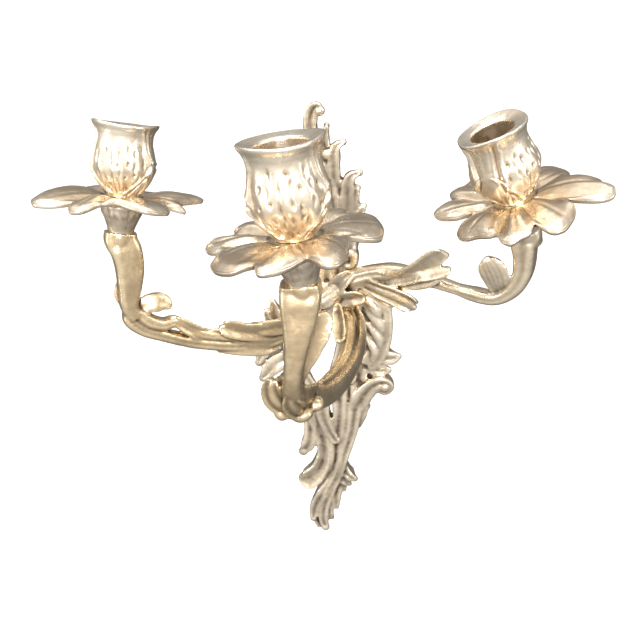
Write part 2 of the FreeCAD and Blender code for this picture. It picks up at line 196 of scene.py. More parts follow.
def leaf(line, widths, face, thick=2.4, bend=0.0, veins=0, vein=0.5, rim=0.0, round_tip=0.8,
         clefts=(), to_wall=False, twist=0.0, rows=44, cols=23):
    """Cast leaf along a line from root to tip.

    face: the way its face looks, or one way at the root and one at the tip. bend: how far the edges
    rise towards the face, as a share of the half width, as one number or several along the leaf.
    veins: grooves along it, and vein their depth. rim: height of the rolled edge. clefts: (place
    across, depth as a share of the length, width) cut into the tip. to_wall: solid back to the wall.
    """
    fine = np.linspace(0, 1, 120)
    spine = smooth(line, fine)
    normal, side = frames_along(spine, faces_along(face, fine))
    half = np.maximum(smooth(widths, fine)[:, 0], 0.3) / 2
    bends = shares_along(bend, fine)[:, 0]
    length = np.sum(np.linalg.norm(np.diff(spine, axis=0), axis=1))

    v = np.linspace(-1, 1, cols)
    u = np.linspace(0, 1, rows)
    tip = round_tip * half[-1] / length * 1.6
    reach = 1 - tip * (1 - np.sqrt(np.clip(1 - 0.96 * v ** 2, 0, 1)))
    for place, depth, spread in clefts:
        reach -= depth * np.exp(-((v - place) / spread) ** 2)
    uu = u[:, None] * (1 + (reach - 1)[None, :] * (u[:, None] ** 2))
    vv = np.repeat(v[None, :], rows, 0)

    def along(values):
        values = values if values.ndim > 1 else values[:, None]
        return np.stack([np.interp(uu, fine, values[:, k]) for k in range(values.shape[1])], -1)

    at, n, s = along(spine), along(normal), along(side)
    w = along(half)
    rise = along(bends)[..., 0] * w[..., 0] * vv ** 2
    if veins:
        places = (np.arange(veins) + 0.5) / veins * 2 - 1
        spread = 0.42 / veins
        shape = sum(np.exp(-((vv - p) / spread) ** 2) for p in places)
        rise -= vein * shape * np.clip(w[..., 0] / 3, 0.2, 1)
    if rim:
        rise += rim * np.exp(-((np.abs(vv) - 0.80) / 0.20) ** 2)
    rise += twist * w[..., 0] * vv * uu
    top = at + s * (w * vv[..., None]) + n * rise[..., None]
    depth = thick * (1 - 0.55 * np.abs(vv) ** 6)
    bottom = top - n * depth[..., None] - s * (w * vv[..., None]) * 0.04
    if to_wall:
        keep = np.clip((uu - 0.55) / 0.45, 0, 1)
        lift = 14 * (1 - keep) + thick * keep
        bottom[..., 1] = np.minimum(WALL_GAP, np.minimum(bottom[..., 1], top[..., 1]) + lift)
        bottom[..., 1] = np.maximum(bottom[..., 1], top[..., 1] + 1.0)
    return closed_shell(top, bottom)


def bar(line, widths, depths, face, box=2.4, grooves=(), rows=90, around=40):
    """Solid bar along a line: widths across the face, depths behind it, and long grooves on the face.

    box is the section's squareness, 2 for an oval and more for a block, as one number or several.
    grooves: (place across from -1 to 1, depth, spread).
    """
    u = np.linspace(0, 1, rows)
    spine = smooth(line, u)
    normal, side = frames_along(spine, faces_along(face, u))
    w = smooth(widths, u)[:, :1] / 2
    d = smooth(depths, u)[:, :1] / 2
    power = 2 / shares_along(box, u)[:, :1]
    a = np.linspace(0, 2 * math.pi, around, endpoint=False)[None, :]
    across = np.sign(np.cos(a)) * np.abs(np.cos(a)) ** power
    out = np.sign(np.sin(a)) * np.abs(np.sin(a)) ** power
    height = d * out
    for place, depth, spread in grooves:
        height = height - np.where(out > 0, depth * np.exp(-((across - place) / spread) ** 2) * out, 0)
    rings = (spine[:, None, :] + side[:, None, :] * (w * across)[..., None]
             + normal[:, None, :] * height[..., None])
    return ring_shell(rings)


def knob(centre, radii, turn=0.0):
    """Flattened ball, for the rolled tips of the leaves and the knuckle of the centre arm."""
    lat = np.linspace(0.02, math.pi - 0.02, 12)[:, None]
    lon = np.linspace(0, 2 * math.pi, 20, endpoint=False)[None, :]
    x = radii[0] * np.sin(lat) * np.cos(lon)
    z = radii[2] * np.sin(lat) * np.sin(lon)
    y = radii[1] * np.cos(lat) * np.ones_like(lon)
    c, s = math.cos(turn), math.sin(turn)
    return ring_shell(np.stack([x * c - z * s, y, x * s + z * c], -1) + np.array(centre, float))


# --- Meshes -----------------------------------------------------------------------------------------

def object_from(name, shells):
    """One object holding several closed bodies."""
    verts, faces, start = [], [], 0
    for v, f in shells:
        verts.append(v)
        faces.append(f + start)
        start += len(v)
    verts = np.concatenate(verts) * MM
    faces = np.concatenate(faces)
    mesh = bpy.data.meshes.new(name)
    mesh.from_pydata(verts.tolist(), [], [list(dict.fromkeys(f)) for f in faces.tolist()])
    bm = bmesh.new()
    bm.from_mesh(mesh)
    bmesh.ops.recalc_face_normals(bm, faces=bm.faces)
    bm.to_mesh(mesh)
    bm.free()
    obj = bpy.data.objects.new(name, mesh)
    bpy.context.scene.collection.objects.link(obj)
    return obj


def applied(obj):
    """The object's modifiers become its mesh."""
    graph = bpy.context.evaluated_depsgraph_get()
    mesh = bpy.data.meshes.new_from_object(obj.evaluated_get(graph))
    obj.modifiers.clear()
    obj.data = mesh


def positions(mesh):
    flat = np.empty(len(mesh.vertices) * 3)
    mesh.vertices.foreach_get("co", flat)
    return flat.reshape(-1, 3)


def edges(mesh):
    flat = np.empty(len(mesh.edges) * 2, dtype=np.int64)
    mesh.edges.foreach_get("vertices", flat)
    return flat.reshape(-1, 2)


def put_positions(mesh, co):
    mesh.vertices.foreach_set("co", co.ravel())
    mesh.update()


def neighbour_mean(co, pairs, degree):
    total = np.empty_like(co)
    for k in range(3):
        total[:, k] = (np.bincount(pairs[:, 0], co[pairs[:, 1], k], len(co))
                       + np.bincount(pairs[:, 1], co[pairs[:, 0], k], len(co)))
    return total / degree[:, None]


def relax(co, pairs, degree, steps, strength=0.5):
    for _ in range(steps):
        co = co + (neighbour_mean(co, pairs, degree) - co) * strength
    return co


def vertex_normals(mesh):
    flat = np.empty(len(mesh.vertices) * 3)
    mesh.vertex_normals.foreach_get("vector", flat)
    return flat.reshape(-1, 3)


def soften(obj, steps):
    """Round a welded skin as a casting is, keeping its bulk."""
    mesh = obj.data
    co, pairs = positions(mesh), edges(mesh)
    degree = np.maximum(np.bincount(pairs.ravel(), minlength=len(co)), 1)
    for _ in range(steps):
        co = relax(co, pairs, degree, 1, 0.6)
        co = relax(co, pairs, degree, 1, -0.55)
    put_positions(mesh, co)


def hammer(obj, amount, size, seed):
    """Uneven surface left by casting and chasing."""
    mesh = obj.data
    co, n = positions(mesh), vertex_normals(mesh)
    shift = Vector((seed, seed * 0.7, seed * 1.3))
    push = np.array([noise.noise(Vector(p) / (size * MM) + shift) for p in co])
    put_positions(mesh, co + n * (push * amount * MM)[:, None])


def mark_hollows(obj, shade=0.0, reach=14):
    """Store how hollow (1) or raised (0) the skin is at each vertex, as the attribute 'hollow'."""
    mesh = obj.data
    co, pairs = positions(mesh), edges(mesh)
    degree = np.maximum(np.bincount(pairs.ravel(), minlength=len(co)), 1)
    n = vertex_normals(mesh)
    fine = relax(co, pairs, degree, 3, 0.7)
    broad = relax(fine, pairs, degree, reach, 0.7)
    deep = relax(broad, pairs, degree, 3 * reach, 0.7)
    close, wide, far = (np.sum((level - co) * n, 1) / MM for level in (fine, broad, deep))
    # how far the colour turns to its hollow colour: patina, and painted shade in creases and deep recesses
    value = 0.45 + shade + close * 0.8 + wide * 0.45 + np.maximum(far, 0) * 0.16
    layer = mesh.attributes.new("hollow", "FLOAT", "POINT")
    layer.data.foreach_set("value", np.clip(value, 0, 1).astype(np.float32))


def shade_smooth(obj):
    obj.data.polygons.foreach_set("use_smooth", [True] * len(obj.data.polygons))
    obj.data.update()


def weld(obj, voxel):
    """Join overlapping bodies into one closed skin."""
    remesh = obj.modifiers.new("weld", "REMESH")
    remesh.mode = "VOXEL"
    remesh.voxel_size = voxel * MM
    applied(obj)


def drill(obj, start, direction, radius, length):
    """Cut a round hole."""
    a = np.linspace(0, 2 * math.pi, 40, endpoint=False)
    direction = unit(direction)
    across = unit(np.cross(direction, UP if abs(direction[2]) < 0.9 else OUT))
    other = np.cross(direction, across)
    circle = across * np.cos(a)[:, None] * radius + other * np.sin(a)[:, None] * radius
    rings = np.stack([start + circle, start + direction * length + circle])
    tool = object_from(obj.name + "_tool", [ring_shell(rings)])
    cut = obj.modifiers.new("hole", "BOOLEAN")
    cut.operation = "DIFFERENCE"
    cut.solver = "EXACT"
    cut.object = tool
    applied(obj)
    bpy.data.objects.remove(tool)


# --- Materials --------------------------------------------------------------------------------------

class Shader:
    """Short way to write a node tree."""

    def __init__(self, name):
        self.material = bpy.data.materials.new(name)
        self.material.use_nodes = True
        self.tree = self.material.node_tree
        self.tree.nodes.clear()
        self.out = self.add("ShaderNodeOutputMaterial")
        self.bsdf = self.add("ShaderNodeBsdfPrincipled")
        self.link(self.bsdf.outputs["BSDF"], self.out.inputs["Surface"])

    def add(self, kind, **values):
        node = self.tree.nodes.new(kind)
        for key, value in values.items():
            setattr(node, key, value)
        return node

    def link(self, a, b):
        self.tree.links.new(a, b)

    def noise(self, where, scale, detail=4.0, rough=0.55):
        node = self.add("ShaderNodeTexNoise")
        node.inputs["Scale"].default_value = scale
        node.inputs["Detail"].default_value = detail
        node.inputs["Roughness"].default_value = rough
        self.link(where, node.inputs["Vector"])
        return node.outputs["Fac"]

    def ramp(self, value, *stops):
        node = self.add("ShaderNodeValToRGB")
        band = node.color_ramp
        while len(band.elements) < len(stops):
            band.elements.new(0.5)
        for element, (at, colour) in zip(band.elements, stops):
            element.position = at
            element.color = (*colour, 1.0) if len(colour) == 3 else colour
        self.link(value, node.inputs["Fac"])
        return node.outputs["Color"]

    def remap(self, value, low, high, to_low, to_high):
        node = self.add("ShaderNodeMapRange")
        ends = {"From Min": low, "From Max": high, "To Min": to_low, "To Max": to_high}
        for key, number in ends.items():
            node.inputs[key].default_value = number
        self.link(value, node.inputs["Value"])
        return node.outputs["Result"]

    def bump(self, height, strength, distance):
        node = self.add("ShaderNodeBump")
        node.inputs["Strength"].default_value = strength
        node.inputs["Distance"].default_value = distance
        self.link(height, node.inputs["Height"])
        self.link(node.outputs["Normal"], self.bsdf.inputs["Normal"])

    def maths(self, kind, a, b):
        node = self.add("ShaderNodeMath", operation=kind)
        for socket, value in zip(node.inputs, (a, b)):
            if isinstance(value, (int, float)):
                socket.default_value = value
            else:
                self.link(value, socket)
        return node.outputs[0]

    def mix(self, factor, a, b, blend="MIX"):
        node = self.add("ShaderNodeMix", data_type="RGBA", blend_type=blend)
        for socket, value in ((node.inputs[0], factor), (node.inputs[6], a), (node.inputs[7], b)):
            if isinstance(value, (int, float)):
                socket.default_value = value
            elif isinstance(value, tuple):
                socket.default_value = (*value, 1.0)
            else:
                self.link(value, socket)
        return node.outputs[2]


def gilt(name, raised, body, hollow, patina, shine, offset):
    """Aged gilt brass: worn bright where it stands up, brown in the hollows with patina and painted shade,
    clouded by handling.
    """
    s = Shader(name)
    place = s.add("ShaderNodeTexCoord").outputs["Object"]
    shift = s.add("ShaderNodeMapping")
    shift.inputs["Location"].default_value = (offset, offset * 0.6, offset * 1.7)
    s.link(place, shift.inputs["Vector"])
    where = shift.outputs["Vector"]
    cavity = s.add("ShaderNodeAttribute", attribute_name="hollow").outputs["Fac"]
    cloud = s.noise(where, 38, 6)
    speck = s.noise(where, 420, 5, 0.7)
    grain = s.noise(where, 1500, 3, 0.6)
    uneven = s.maths("ADD", cavity, s.remap(cloud, 0.3, 0.7, -0.10, 0.10))
    uneven = s.maths("ADD", uneven, s.remap(speck, 0.3, 0.7, -0.06, 0.06))
    dull = tuple(0.84 * b for b in body)
    between = tuple(0.45 * b + 0.55 * h for b, h in zip(body, hollow))
    # painted shade and patina: the colour runs from raised through body to the hollow colour as the skin
    # lies deeper
    colour = s.ramp(uneven, (0.24, raised), (0.46, body), (0.58, dull), (0.72, between), (0.90, hollow))
    tarnish = s.ramp(cloud, (0.46, (0, 0, 0)), (0.72, (1, 1, 1)))
    colour = s.mix(s.maths("MULTIPLY", tarnish, 0.55), colour, patina)
    pit = s.ramp(speck, (0.64, (0, 0, 0)), (0.74, (1, 1, 1)))
    colour = s.mix(s.maths("MULTIPLY", pit, 0.30), colour, hollow)
    s.link(colour, s.bsdf.inputs["Base Color"])
    s.bsdf.inputs["Metallic"].default_value = 1.0
    rough = s.maths("ADD", s.remap(cloud, 0.3, 0.7, shine - 0.05, shine + 0.09),
                    s.remap(uneven, 0.3, 1.0, 0.0, 0.22))
    rough = s.maths("ADD", rough, s.remap(speck, 0.3, 0.7, -0.035, 0.035))
    s.link(rough, s.bsdf.inputs["Roughness"])
    s.bump(s.maths("ADD", s.maths("MULTIPLY", speck, 0.8), s.maths("MULTIPLY", grain, 0.25)), 0.30, 0.0005)
    return s.material


def machined(name, colour, dark, rough):
    """Turned metal with fine marks and a little dirt."""
    s = Shader(name)
    where = s.add("ShaderNodeTexCoord").outputs["Object"]
    cloud = s.noise(where, 160, 5)
    mark = s.noise(where, 1800, 3)
    s.link(s.ramp(cloud, (0.35, colour), (0.75, dark)), s.bsdf.inputs["Base Color"])
    s.bsdf.inputs["Metallic"].default_value = 1.0
    s.link(s.remap(cloud, 0.3, 0.7, rough, rough + 0.2), s.bsdf.inputs["Roughness"])
    s.bump(mark, 0.2, 0.0003)
    return s.material


# Colour of the hollows: patina, and painted shade where creases and recesses lie in shadow.
HOLLOW_PATINA_AND_SHADE = (0.105, 0.076, 0.050)
MATERIALS = {
    "backplate_bronze": gilt("gilt_plate", (0.99, 0.87, 0.68), (0.73, 0.605, 0.455), HOLLOW_PATINA_AND_SHADE,
                             (0.34, 0.29, 0.235), shine=0.20, offset=0.3),
    "arm_bronze": gilt("gilt_arm", (0.92, 0.75, 0.49), (0.67, 0.515, 0.325), HOLLOW_PATINA_AND_SHADE,
                       (0.27, 0.20, 0.125), shine=0.22, offset=1.1),
    "pan_bronze": gilt("gilt_pan", (0.92, 0.80, 0.64), (0.68, 0.555, 0.41), HOLLOW_PATINA_AND_SHADE,
                       (0.30, 0.215, 0.14), shine=0.23, offset=2.3),
    # The cups are coloured paler than the other castings: pale gilt, lightened further as painted light for
    # the strong front light on them.
    "cup_bronze": gilt("gilt_cup", (0.99, 0.90, 0.76), (0.93, 0.81, 0.64), (0.21, 0.13, 0.07),
                       (0.60, 0.47, 0.33), shine=0.24, offset=3.7),
    "stud_brass": machined("turned_brass", (0.66, 0.50, 0.26), (0.30, 0.21, 0.10), 0.34),
    "fixing_steel": machined("zinc_steel", (0.62, 0.61, 0.58), (0.30, 0.28, 0.25), 0.36),
}
# The right arm is coloured greyer than the other two.
GREYER_ARM = gilt("gilt_arm_grey", (0.93, 0.81, 0.62), (0.68, 0.57, 0.43), HOLLOW_PATINA_AND_SHADE,
                  (0.28, 0.225, 0.16), shine=0.22, offset=1.9)


def roughen(obj, amount, seed):
    """Broad and fine unevenness of a casting."""
    hammer(obj, amount, 9.0, seed)
    hammer(obj, amount * 0.4, 3.0, seed + 5)


def keep_depth(obj, branch, low, high):
    """Keep a stack piece between two depths below its lip, so that it turns clear of its neighbours."""
    mesh = obj.data
    co = positions(mesh)
    depth = (branch.lip - co / MM) @ branch.axis
    put_positions(mesh, co + np.outer(depth - np.clip(depth, low, high), branch.axis) * MM)


def finish_piece(obj, node, body, slot, shade=0.0, material=None):
    """Hollows, material, and the piece's place in the frame."""
    mark_hollows(obj, shade)
    shade_smooth(obj)
    obj.data.materials.clear()
    obj.data.materials.append(material or MATERIALS[slot])
    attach(obj, body)
    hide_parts(node)
    return obj


# --- Candle cups ------------------------------------------------------------------------------------

# Depth below the lip and radius of the tulip's skin.
CUP_PROFILE = [(0.0, 18.4), (1.4, 18.5), (4.0, 17.0), (7.0, 16.0), (11.0, 15.9), (16.0, 16.8),
               (21.0, 18.0), (26.0, 18.1), (31.0, 16.4), (35.5, 13.5), (39.0, 10.9), (41.0, 9.4)]
CUP_SKIN_TOP = 0.9
CUP_SKIN_END = 41.0
# Half the spread of a wide petal, at shares of the cup's height.
PETAL_AT = [0.0, 0.12, 0.30, 0.50, 0.66, 0.80, 0.92, 1.0]
PETAL_HALF = np.radians([50, 54, 58, 64, 58, 44, 26, 10])
DIMPLES = 30
# How far each cup is turned on its stack, in degrees.
CUP_TURN = {"left": 6, "centre": 2, "right": 50}


def angle_from(a, centre):
    return (a - centre + math.pi) % (2 * math.pi) - math.pi


def ridge(distance, width):
    return np.exp(-(distance / width) ** 2)


def cup_relief(branch, local, share, radius):
    """Chasing of the tulip: two wide petals, two side petals with a sepal at their foot, and dimples."""
    half = smooth(PETAL_HALF, np.interp(share[:, 0], PETAL_AT, np.linspace(0, 1, len(PETAL_AT))))
    relief = np.zeros_like(radius)
    seed = abs(branch.lip[0]) * 0.13
    wander = 0.9 * np.sin(share * 9 + seed) + 0.5 * np.sin(share * 19 + seed * 2)
    fade = np.clip((share - 0.03) / 0.1, 0, 1) * np.clip((0.985 - share) / 0.05, 0, 1)
    for centre in (-math.pi / 2, math.pi / 2):
        off = angle_from(local, centre)
        edge = (np.abs(off) - half) * radius + wander * np.sign(off) * 0.8
        inside = np.clip(-edge / 2.2, 0, 1)
        relief += 1.25 * ridge(edge + 0.4, 1.2) * fade
        relief -= 1.05 * ridge(edge - 2.2, 1.0) * fade
        relief += 0.35 * inside * fade
        # soft upright folds, deeper towards the foot
        folds = np.cos(off * (9.0 + 2.0 * share) + 1.3 * np.sin(share * 6 + seed))
        folded = np.clip((share - 0.18) / 0.25, 0, 1) * np.clip((0.97 - share) / 0.15, 0, 1)
        relief += 0.42 * folds * inside * folded
        for k in range(DIMPLES):
            at = 0.26 + 0.64 * ((k * 0.7549 + seed) % 1.0)
            turn = (((k * 0.5698 + seed * 0.7) % 1.0) - 0.5) * 1.7 * np.interp(at, PETAL_AT, PETAL_HALF)
            tall = 0.045 + 0.02 * math.sin(k)
            relief -= 0.95 * ridge((off - turn) * radius, 0.85) * ridge(share - at, tall) * inside
    for centre in (0.0, math.pi):
        off = angle_from(local, centre)
        rise = np.clip((share - 0.46) / 0.05, 0, 1) * np.clip((0.99 - share) / 0.05, 0, 1)
        open_by = (np.radians(30) * np.clip((share - 0.44) / 0.16, 0, 1) ** 0.6
                   * np.clip((1.04 - share) / 0.35, 0, 1) ** 0.5)
        edge = (np.abs(off) - open_by) * radius
        relief += 0.9 * ridge(edge + 0.5, 1.0) * rise
        relief -= 0.5 * ridge(edge - 1.4, 0.8) * rise
        inner = (np.abs(off) - open_by * 0.55) * radius
        relief -= 0.5 * ridge(inner, 0.9) * rise * np.clip((share - 0.55) / 0.08, 0, 1)
        upper = np.clip((0.5 - share) * 5, 0, 1)
        for vein in (-0.32, 0.0, 0.32):
            relief -= 0.25 * ridge((off - vein * (1.1 - share)) * radius, 0.9) * upper * fade
    return relief


def make_cup(branch):
    """Tulip cup: the candle's bore inside, and the chased skin outside."""
    around, tall = 300, 150
    local = np.linspace(0, 2 * math.pi, around, endpoint=False)[None, :]
    a = (local + math.radians(CUP_TURN[branch.name]))[0]
    depth = np.linspace(CUP_SKIN_TOP, CUP_SKIN_END, tall)[:, None]
    share = depth / CUP_HEIGHT
    profile = np.array(CUP_PROFILE)
    t = np.interp(depth[:, 0], profile[:, 0], np.linspace(0, 1, len(profile)))
    radius = smooth(profile[:, 1], t)[:, :1] * np.ones_like(local)
    radius = radius + cup_relief(branch, local, share, radius)
    flare = np.clip(1 - share * 7, 0, 1)
    radius = radius + (0.35 * np.sin(2 * local + 0.7) + 0.25 * np.sin(5 * local)) * flare
    lift = 0.55 * np.sin(2 * local + 1.0) + 0.3 * np.sin(3 * local + 2.0)
    lift = lift * np.clip(1 - (depth - CUP_SKIN_TOP) / 6, 0, 1)
    skin = [(radius[i], depth[i, 0] - lift[i]) for i in range(tall)]
    lip_r, lip_d = skin[0]
    # from the bore's floor up to the rim, over it and down the outside to the foot
    bore_r, floor = branch.bore_r, branch.bore_depth
    order = [(r, floor) for r in (3.0, 7.0, bore_r - 0.6)]
    order += [(bore_r, d) for d in np.linspace(floor - 0.6, 3.2, 14)]
    order += [(bore_r, 2.3), (bore_r + 0.25, 1.9), (bore_r + 0.9, 1.6)]
    for k in (0.35, 0.55, 0.75, 0.9):
        order.append(((bore_r + 0.9) * (1 - k) + (lip_r - 0.8) * k, 1.6 * (1 - k) + (lip_d - 0.75) * k))
    order += [(lip_r - 0.7, lip_d - 0.8), (lip_r - 0.25, lip_d - 0.6), (lip_r, lip_d - 0.25)]
    order += skin
    order += [(9.2, CUP_HEIGHT - 0.3), (8.8, CUP_HEIGHT), (4.0, CUP_HEIGHT)]
    cup = object_from(branch.name + "_cup_look", [ring_shell(branch.rings(a, order))])
    roughen(cup, amount=0.2, seed=branch.lip[0])
    keep_depth(cup, branch, -5.0, CUP_HEIGHT)
    return finish_piece(cup, branch.name + "_candle_cup", branch.name + "_cup", "cup_bronze")


# Depth below the calyx's top and radius.
CALYX_PROFILE = [(0.4, 12.4), (1.6, 12.7), (3.5, 12.1), (6.0, 11.3), (8.5, 10.2), (11.0, 9.3),
                 (13.5, 8.4), (15.5, 7.9), (16.9, 7.6)]


def make_calyx(branch):
    """Leafy collar between the pan and the arm."""
    around = 168
    a = np.linspace(0, 2 * math.pi, around, endpoint=False)
    share = np.linspace(0, 1, 60)
    order = [(r, CALYX_TOP) for r in (0.5, 6.0, 11.4)]
    for t, (d, r) in zip(share, smooth(CALYX_PROFILE, share)):
        leafy = 0.75 * (np.abs(np.cos(3 * (a + 0.35))) ** 0.7 - 0.6) * (1 - t) ** 0.7
        sepal = 0.35 * np.exp(-((t - 0.46 - 0.16 * np.cos(6 * a)) / 0.10) ** 2) * (1 - t)
        cut = 0.45 * np.exp(-((((a * 3 / math.pi) % 1) - 0.5) / 0.10) ** 2) * np.clip(1 - 1.3 * t, 0, 1)
        order.append((r + (leafy + sepal - cut), CALYX_TOP + d))
    order += [(r, ARM_TOP) for r in (7.0, 3.0, 0.5)]
    calyx = object_from(branch.name + "_calyx_look", [ring_shell(branch.rings(a, order))])
    roughen(calyx, amount=0.25, seed=branch.lip[2])
    keep_depth(calyx, branch, CALYX_TOP, ARM_TOP)
    return finish_piece(calyx, branch.name + "_calyx", "root", "cup_bronze", shade=0.25)


# --- Drip pans --------------------------------------------------------------------------------------

# Outline of each pan round its stack: direction in degrees, radius, and drop below the hub's face.
PAN_EDGES = {
    "left": [
        (4, 36, 0.5), (14, 34, -1.5), (22, 40, -2.5), (29, 48, -3.5), (37, 50, -4.5), (46, 45, -4.5),
        (56, 37, -3.5), (64, 30, -2.5), (76, 36, -1), (90, 39, 1.5), (104, 36, 0.5), (114, 30, -2),
        (124, 37, -1.5), (138, 41, 0), (150, 37, 0), (158, 31, -1.5), (170, 36, -1.5), (186, 42, -1),
        (200, 47, 1), (210, 49.5, 3), (218, 48, 4.5), (225, 39, 4), (230, 31, 2), (238, 36, 3),
        (247, 39, 4.5), (255, 36, 3.5), (262, 29, 0.5), (272, 30, -1), (285, 28, -1.5),
        (296, 32, -0.5), (308, 38, 0.5), (322, 39.5, 1), (336, 36, 0.5), (345, 31, -0.5),
        (354, 39, 0.5)],
    "centre": [
        (4, 36.5, 3), (12, 38.5, 2.5), (24, 40, 1.5), (34, 40, 0), (42, 36, -1), (49, 32, -2),
        (56, 37, -2), (66, 38.5, -1), (78, 34, -1), (86, 29, -2), (96, 36, -1), (108, 41, 1),
        (120, 38, -1), (128, 33, -3), (137, 36.5, -3), (148, 36, -3), (158, 31.5, -2.5),
        (164, 33, -2), (170, 40, -1.5), (177, 41, 0), (184, 37.5, 0), (192, 31.5, -1),
        (202, 35, -1.5), (215, 40, -1.5), (230, 42.5, -1.5), (239, 41, -1.5), (244, 37.5, -2),
        (248, 35, -2), (254, 40.5, -1.5), (262, 39, -1.5), (272, 34.5, -2), (280, 31, -2.5),
        (286, 30, -2.5), (292, 37, -1.5), (299, 39, -1), (308, 36.5, -1), (320, 31, -1.5),
        (334, 26.5, -2), (344, 24.5, -2), (353, 30, 0.5)],
    "right": [
        (6, 30, -2), (18, 33, 0.5), (32, 36, 1.5), (46, 38, 1), (60, 35, 0), (70, 29, -2),
        (84, 36, -2), (98, 40, -2.5), (112, 43, -5), (119, 40, -5), (124, 41, -5), (132, 45, -5.5),
        (140, 42, -5), (144, 38, -4.5), (149, 44, -4), (156, 48, -3), (163, 44, -1.5), (169, 34, -1),
        (176, 24.5, -1.5), (180, 27, -0.5), (186, 33.5, 0.5), (196, 37, 1), (207, 36.5, 0.5),
        (219, 34, -0.5), (232, 34, -0.5), (241, 34.5, -0.5), (246, 39, 0.2), (252, 42, 0.8),
        (260, 40.5, 0), (268, 39.5, -0.5), (274, 34.5, -1), (279, 42, 2), (286, 45, 3),
        (295, 42.5, 3), (304, 39.5, 2.5), (310, 36.5, 1), (315, 31, 0), (318.5, 36, 2),
        (322, 45.5, 4), (326, 49.5, 4.5), (331, 50.5, 4), (337, 49, 2.5), (342, 44, 1),
        (345, 43, 0.5), (350, 38, -1), (356, 29, -3)],
}
# Directions of the creases between each pan's petals.
PAN_CREASES = {
    "left": (14, 64, 114, 158, 230, 268, 345),
    "centre": (49, 86, 128, 161, 192, 248, 284, 344),
    "right": (2, 70, 119, 144, 176, 243, 274, 315),
}
PAN_SEED = {"left": 2.1, "centre": 4.4, "right": 7.9}
PAN_BORE_R = 3.05
PAN_INNER_R = 10.8
PAN_THICK = 3.0
FLAT_ABOVE = 12.0                  # the hub is flat out to here, under the cup
FLAT_BELOW = 14.6                  # and out to here, over the calyx


def round_trip(rows, degrees):
    """Smooth closed curve through (direction, value...) rows, read at the directions given."""
    rows = np.array(rows, float)
    rows = np.vstack([rows[-3:] - 360, rows, rows[:3]])
    rows[:3, 1:], rows[-3:, 0] = rows[-6:-3, 1:], rows[3:6, 0] + 360
    d = np.diff(rows[:, 0])[:, None]
    slope = np.diff(rows[:, 1:], axis=0) / d
    mid = (slope[:-1] * d[1:] + slope[1:] * d[:-1]) / (d[1:] + d[:-1])
    mid = np.vstack([slope[:1], mid, slope[-1:]])
    i = np.clip(np.searchsorted(rows[:, 0], degrees, side="right") - 1, 0, len(rows) - 2)
    h = d[i]
    t = ((degrees - rows[i, 0])[:, None]) / h
    p0, p1, m0, m1 = rows[i, 1:], rows[i + 1, 1:], mid[i], mid[i + 1]
    curve = ((2 * t ** 3 - 3 * t ** 2 + 1) * p0 + (t ** 3 - 2 * t ** 2 + t) * h * m0
             + (3 * t ** 2 - 2 * t ** 3) * p1 + (t ** 3 - t ** 2) * h * m1)
    return curve.T


def ring_torus(rings):
    """Closed skin through rings that run back to the first one."""
    count, around = rings.shape[:2]
    grid = np.arange(count * around).reshape(count, around)
    nxt = np.roll(grid, -1, axis=1)
    after, both = np.roll(grid, -1, axis=0), np.roll(nxt, -1, axis=0)
    return rings.reshape(-1, 3), np.stack([grid.ravel(), nxt.ravel(), both.ravel(), after.ravel()], 1)


def make_pan(branch):
    """Dished drip pan of domed petals, bored for its stud."""
    around = 480
    degrees = np.arange(around) * 360 / around
    a = np.radians(degrees)
    edge, drop = round_trip(PAN_EDGES[branch.name], degrees)
    creases = np.array(PAN_CREASES[branch.name], float)
    gaps = (degrees[:, None] - creases[None, :] + 180) % 360 - 180
    nearest = gaps[np.arange(around), np.argmin(np.abs(gaps), 1)]
    before = np.array([np.min(np.where(g >= 0, g, g + 360)) for g in gaps])
    span = before + np.array([np.min(np.where(g <= 0, -g, 360 - g)) for g in gaps])
    across = before / np.maximum(span, 1)                     # 0 to 1 over each petal
    seed = PAN_SEED[branch.name]

    def top(share):
        r = PAN_INNER_R + (edge - PAN_INNER_R) * share
        petal = np.sin(math.pi * across) ** 0.8
        dome = -3.0 * petal * math.sin(math.pi * share ** 0.85)
        low = (drop + 0.8 * petal) * share ** 1.6
        crease = 1.3 * ridge(np.radians(nearest) * r, 3.2) * math.sin(math.pi * share ** 1.4) ** 0.8
        vein = 0.42 * ridge((across - 0.5) * np.radians(span) * r, 1.2) * math.sin(math.pi * share ** 0.8)
        for side in (0.24, 0.76):
            spread = side + (side - 0.5) * 0.25 * share
            beside = ridge((across - spread) * np.radians(span) * r, 1.3)
            vein = vein + 0.24 * beside * math.sin(math.pi * share)
        curl = 1.25 * max(share - 0.84, 0) / 0.16
        swell = 0.5 * np.sin(2 * a + seed + 5 * share) + 0.3 * np.sin(5 * a + seed * 2 - 7 * share)
        return r, PAN_TOP + dome + low + crease + vein + curl * curl + swell * share

    # over the hub and out to the edge, round it, and back below to the hub
    order = [(r, PAN_TOP + d) for r, d in ((PAN_BORE_R, 0.1), (PAN_BORE_R + 0.2, 0.0), (6.5, 0.0),
                                           (9.6, 0.0), (10.4, 0.05))]
    order += [top(share) for share in np.linspace(0.03, 0.985, 40)]
    edge_r, edge_d = top(1.0)
    for t in np.linspace(-0.35, math.pi / 2 + 0.35, 7):
        order.append((edge_r - 0.75 + 0.95 * math.cos(t - math.pi / 4),
                      edge_d + PAN_THICK / 2 - PAN_THICK / 2 * math.cos(t) * 0.95))
    for share in np.linspace(0.97, 0.04, 30):
        r, d = top(share)
        order.append((r - 0.2, d + PAN_THICK - 0.5 * share ** 8))
    order += [(r, PAN_TOP + PAN_HUB_T - d) for r, d in ((10.4, 0.2), (9.9, 0.0), (6.5, 0.0),
                                                        (PAN_BORE_R + 0.2, 0.0), (PAN_BORE_R, 0.1))]
    pan = object_from(branch.name + "_pan_look", [ring_torus(branch.rings(a, order))])
    roughen(pan, amount=0.22, seed=branch.lip[1])
    clear_hub(pan, branch)
    return finish_piece(pan, branch.name + "_drip_pan", branch.name + "_pan", "pan_bronze")


